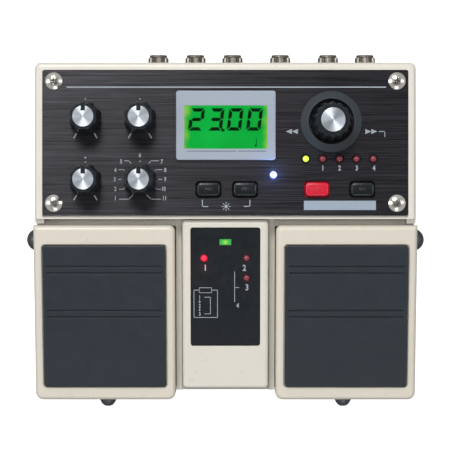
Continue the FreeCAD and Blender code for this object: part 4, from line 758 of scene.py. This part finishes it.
def panel_numbers(mesh):
    for text, x in zip("1234", (43.95, 51.5, 59.25, 67.0)):
        number(mesh, text, x, 28.8, 2.3, LOW, HIGH)
    dial = (
        (-49.6, 15.2), (-49.6, 19.4), (-49.9, 23.7), (-49.6, 27.9), (-47.0, 31.7),
        (-38.5, 34.6),
        (-28.6, 31.7), (-27.1, 27.9), (-27.1, 23.7), (-27.7, 19.4), (-27.4, 15.2),
    )
    for step, (x, y) in enumerate(dial, 1):
        number(mesh, str(step), x, y, 2.0, LOW, HIGH, 0.75)


drawing = bmesh.new()
line(drawing, [(-71.3, 65.25), (72.2, 65.25)], 0.55, LOW, HIGH)
knob_ticks(drawing)
mode_leaders(drawing)
arrows(drawing)
light_sign(drawing)
panel_numbers(drawing)
finished("panel_print", drawing, "housing", PRINT_LIGHT)

# A dark disc under each lamp of the row, showing as a ring round its rim: painted shade of the gap in the
# lamp's hole.
drawing = bmesh.new()
for x in LAMP_ROW:
    spot(drawing, x, LAMP_ROW_Y, 2.25, LOW, PANEL + 0.02, 40)
finished("painted_lamp_hole_shade", drawing, "housing", LAMP_HOLE_SHADE)

drawing = bmesh.new()
prism(drawing, [(35.4, 9.85), (67.9, 9.85), (67.9, 14.05), (35.4, 14.05)], LOW, HIGH)
finished("panel_bar", drawing, "housing", PRINT_BLUE)


# ---------------------------------------------------------------- the display

DIGIT_WIDTH, DIGIT_HEIGHT, STROKE, SPLIT, LEAN = 6.5, 10.1, 1.55, 0.16, math.tan(math.radians(7.5))


def segments():
    """The seven strokes of one digit, with its lower left corner at 0, 0."""
    w, h, t, g = DIGIT_WIDTH, DIGIT_HEIGHT, STROKE, SPLIT
    m, half = h / 2, t / 2
    inner_left, inner_right = t + g, w - t - g
    top = [(g + 0.25, h), (w - g - 0.25, h), (inner_right, h - t), (inner_left, h - t)]
    upper_right = [(w, h - g - 0.25), (w, m + g + 0.1), (w - half, m + g)]
    upper_right += [(w - t, m + half + g), (w - t, h - t - g)]
    bar = [(half + g, m), (inner_left, m + half), (inner_right, m + half)]
    bar += [(w - half - g, m), (inner_right, m - half), (inner_left, m - half)]
    return {
        "a": top,
        "b": upper_right,
        "c": [(x, h - y) for x, y in upper_right],
        "d": [(x, h - y) for x, y in top],
        "e": [(w - x, h - y) for x, y in upper_right],
        "f": [(w - x, y) for x, y in upper_right],
        "g": bar,
    }


DIGITS = {"2": "abged", "3": "abgcd", "0": "abcdef"}
DIGIT_BASE, DIGIT_LEFTS = 45.65, (-16.9, -8.1, 0.5, 9.25)
low, high = SCREEN + 0.02, SCREEN + 0.12
drawing = bmesh.new()
strokes = segments()
for text, left in zip("2300", DIGIT_LEFTS):
    for name in DIGITS[text]:
        prism(drawing, [(left + x + LEAN * y, DIGIT_BASE + y) for x, y in strokes[name]], low, high)
spot(drawing, -1.05, 45.9, 0.75, low, high)
line(drawing, [(14.0, 42.0), (14.0, 39.1)], 0.25, low, high)
spot(drawing, 13.7, 38.9, 0.45, low, high)
finished("display_digits", drawing, "housing", DIGIT_BLACK)

drawing = bmesh.new()
for left, right in ((-17.2, 4.7), (5.9, 18.0)):
    line(drawing, [(left, 36.35), (right, 36.35)], 0.25, BEZEL - SUNK, BEZEL + RAISED)
finished("bezel_print", drawing, "housing", PRINT_DARK)


# ---------------------------------------------------------------- print on the label plate and the rear wall

LABEL_STROKES = (
    (0.3, ((-11.9, -32.0), (-14.3, -32.0), (-14.3, -44.7), (-3.6, -44.7), (-3.6, -32.0), (-6.3, -32.0))),
    (0.26, ((-11.9, -30.9), (-6.3, -30.9), (-6.3, -33.2), (-11.9, -33.2), (-11.9, -30.9))),
    (0.28, ((-9.4, -35.3), (-6.8, -35.3), (-6.8, -43.0), (-9.4, -43.0))),
    (0.26, ((-11.7, -36.4), (-11.7, -37.3))),
    (0.26, ((-11.7, -40.2), (-11.7, -41.1))),
    (0.3, ((4.2, -23.6), (4.2, -37.4))),
    (0.3, ((4.2, -30.8), (6.1, -30.8))),
)
LABEL_ARROWS = (-37.3, -41.1)
low, high = LABEL - SUNK, LABEL + RAISED
drawing = bmesh.new()
for width, points in LABEL_STROKES:
    line(drawing, points, width, low, high)
for y in LABEL_ARROWS:
    prism(drawing, [(-12.25, y + 0.1), (-11.15, y + 0.1), (-11.7, y - 0.8)], low, high)
for text, x, y, height in (
    ("1", -9.1, -21.7, 2.9),
    ("2", 8.6, -21.7, 2.9),
    ("3", 9.8, -30.7, 2.9),
    ("4", 5.6, -39.1, 2.2),
    ("1", -11.7, -35.3, 1.7),
    ("2", -11.7, -39.2, 1.7),
    ("3", -11.7, -43.1, 1.7),
):
    number(drawing, text, x, y, height, low, high)
on_cover(drawing)
finished("label_print", drawing, "housing", PRINT_LIGHT)

# The rear wall's numbers are drawn flat, as seen from behind, and turned upright.
low, high = REAR_WALL - SUNK, REAR_WALL + RAISED
drawing = bmesh.new()
for text, x in zip("123456", SOCKETS):
    number(drawing, text, -x, 32.2, 3.0, low, high)
for text, x in (("0", 51.4), ("1", 47.9)):
    number(drawing, text, x, 30.4, 2.2, low, high)
rear = Matrix(((-1, 0, 0, 0), (0, 0, 1, 0), (0, 1, 0, 0), (0, 0, 0, 1)))
bmesh.ops.transform(drawing, matrix=rear, verts=drawing.verts)
finished("rear_print", drawing, "housing", PRINT_DARK)


# ---------------------------------------------------------------- lamps


LAMP_RIM, LAMP_LENS, LAMP_DOME_START = 1.9, 1.6, 7.2


def round_lamp(name, x, y, base, material, tilted=False):
    """A lamp with a rim and a domed lens."""
    mesh = bmesh.new()
    profile = [(0, 0), (LAMP_RIM, 0), (LAMP_RIM, 0.8), (LAMP_LENS, 1.0), (LAMP_LENS, LAMP_DOME_START)]
    for angle in range(10, 90, 10):
        out, up = math.cos(math.radians(angle)), math.sin(math.radians(angle))
        profile.append((LAMP_LENS * out, LAMP_DOME_START + LAMP_LENS * up))
    profile.append((0, LAMP_DOME_START + LAMP_LENS))
    lathe(mesh, profile, 40)
    bmesh.ops.translate(mesh, vec=(x, y, base), verts=mesh.verts)
    if tilted:
        on_cover(mesh)
    return finished(name, mesh, "housing", material, smooth=True)


# The first place of the row holds the green lamp, which stays a CAD piece.
red_lamps = []
for step, x in enumerate(LAMP_ROW[1:], 1):
    red_lamps.append(round_lamp(f"red_lamp_{step}", x, LAMP_ROW_Y, 31.6, RED_OFF))
for name, x, y, material in (
    ("foot_lamp_lit", -9.7, -17.3, RED_ON),
    ("foot_lamp_upper", 9.6, -17.3, RED_OFF),
    ("foot_lamp_lower", 9.6, -26.5, RED_OFF),
):
    red_lamps.append(round_lamp(name, x, y, -8.4, material, tilted=True))
for lamp in red_lamps:
    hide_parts("red_lamps")


# ---------------------------------------------------------------- springs and thumbscrews


WIRE, WIRE_SIDES = 0.45, 10
TURNS, TURN_STEPS = 9.0, 26


def coil_spring(side):
    """A wound spring with flat end turns, in the place of its tube."""
    name = f"{side}_spring"
    low_corner, high_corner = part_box(name)
    x = (low_corner.x + high_corner.x) / 2 / MM
    y = (low_corner.y + high_corner.y) / 2 / MM
    reach = (high_corner.x - low_corner.x) / 2 / MM - WIRE
    bottom, top = low_corner.z / MM + WIRE, high_corner.z / MM - WIRE
    total = int(TURNS * TURN_STEPS)
    points = []
    for step in range(total + 1):
        turn = step / TURN_STEPS
        rise = min(max((turn - 1.0) / (TURNS - 2.0), 0.0), 1.0)
        angle = 2 * math.pi * turn
        z = bottom + rise * (top - bottom)
        points.append(Vector((x + reach * math.cos(angle), y + reach * math.sin(angle), z)))
    mesh = bmesh.new()
    rings = []
    for step, point in enumerate(points):
        ahead = (points[min(step + 1, total)] - points[max(step - 1, 0)]).normalized()
        out = Vector((point.x - x, point.y - y, 0)).normalized()
        up = ahead.cross(out).normalized()
        rings.append([
            mesh.verts.new(point + (out * math.cos(a) + up * math.sin(a)) * WIRE)
            for a in (2 * math.pi * part / WIRE_SIDES for part in range(WIRE_SIDES))
        ])
    for first, second in zip(rings, rings[1:]):
        for part in range(WIRE_SIDES):
            after = (part + 1) % WIRE_SIDES
            mesh.faces.new((first[part], first[after], second[after], second[part]))
    mesh.faces.new(rings[0][::-1])
    mesh.faces.new(rings[-1])
    piece = finished(f"{side}_coil", mesh, "housing", WOUND, smooth=True)
    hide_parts(name)
    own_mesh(piece)


# The thumbscrew's heights are measured from its face. The face's curve is in parts of the head's radius.
HEAD_FACE = (
    (0.3, 0.05), (0.42, 0.22), (0.53, 0.47), (0.62, 0.74), (0.69, 1.04), (0.76, 1.4),
    (0.82, 1.75), (0.88, 2.15), (0.93, 2.55), (0.965, 2.9), (1.0, 3.2), (1.0, 3.65),
)
HEAD_DEPTH, KNURL_END, KNURL_DIP = 3.65, 3.6, 0.955
NECK, THREAD_TOP, THREAD_ROOT, THREAD_END = 2.6, 2.0, 1.75, 1.6
THREAD_LENGTH, THREAD_TURNS, SCREW_PITCH = 5.0, 9, 0.5


def knurled_screw(side):
    """A thumbscrew with a knurled head, a smooth neck and a thread."""
    name = f"{side}_thumbscrew"
    low_corner, high_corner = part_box(name)
    x = (low_corner.x + high_corner.x) / 2 / MM
    z = (low_corner.z + high_corner.z) / 2 / MM
    front, length = low_corner.y / MM, (high_corner.y - low_corner.y) / MM
    head = (high_corner.x - low_corner.x) / 2 / MM
    thread = length - THREAD_LENGTH

    def knurl(step, radius, height):
        return 1.0 if step % 4 in (0, 1) or radius < head - 0.05 or height > KNURL_END else KNURL_DIP

    mesh = bmesh.new()
    profile = [(0, 0)]
    profile += [(head * part, height) for part, height in HEAD_FACE]
    profile += [(NECK, HEAD_DEPTH), (NECK, thread - 0.05), (THREAD_TOP, thread)]
    for turn in range(THREAD_TURNS):
        profile.append((THREAD_ROOT, thread + SCREW_PITCH * (turn + 0.5)))
        profile.append((THREAD_TOP, thread + SCREW_PITCH * (turn + 1.0)))
    profile += [(THREAD_END, length), (0, length)]
    lathe(mesh, profile, 160, knurl)
    turn = Matrix(((1, 0, 0, x), (0, 0, 1, front), (0, -1, 0, z), (0, 0, 0, 1)))
    bmesh.ops.transform(mesh, matrix=turn, verts=mesh.verts)
    piece = finished(f"{side}_knurled_screw", mesh, f"{side}_thumbscrew_body", DARK_SCREW)
    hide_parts(name)


WOUND = wound_steel()
for side in ("left", "right"):
    coil_spring(side)
    knurled_screw(side)


# ---------------------------------------------------------------- floor and backdrop


def add_floor():
    """A pale floor just under the part, which no glossy or diffuse ray sees."""
    mesh = bmesh.new()
    bmesh.ops.create_grid(mesh, x_segments=1, y_segments=1, size=FLOOR_REACH)
    bmesh.ops.translate(mesh, vec=(0, 0, -FLOOR_DEPTH), verts=mesh.verts)
    data = bpy.data.meshes.new("floor")
    mesh.to_mesh(data)
    mesh.free()
    finish = Finish("pale_floor", (0.35, 0.35, 0.35), 0.7)
    finish.vary(finish.noise(400.0, 2.0), 0.01)
    finish.glow((1.0, 1.0, 1.0), 0.95)
    data.materials.append(finish.material)
    floor = bpy.data.objects.new("floor", data)
    floor.visible_diffuse = False
    floor.visible_glossy = False
    scene.collection.objects.link(floor)


def add_backdrop():
    """A white dome that only the camera sees, so that low views have no horizon."""
    mesh = bmesh.new()
    bmesh.ops.create_uvsphere(mesh, u_segments=48, v_segments=24, radius=BACKDROP_REACH)
    data = bpy.data.meshes.new("backdrop")
    mesh.to_mesh(data)
    mesh.free()
    finish = Finish("white_backdrop", (0.0, 0.0, 0.0), 0.9)
    finish.set("Specular IOR Level", 0.0)
    finish.glow((1.0, 1.0, 1.0), 1.05)
    data.materials.append(finish.material)
    backdrop = bpy.data.objects.new("backdrop", data)
    backdrop.visible_diffuse = False
    backdrop.visible_glossy = False
    backdrop.visible_transmission = False
    backdrop.visible_shadow = False
    scene.collection.objects.link(backdrop)


add_floor()
add_backdrop()
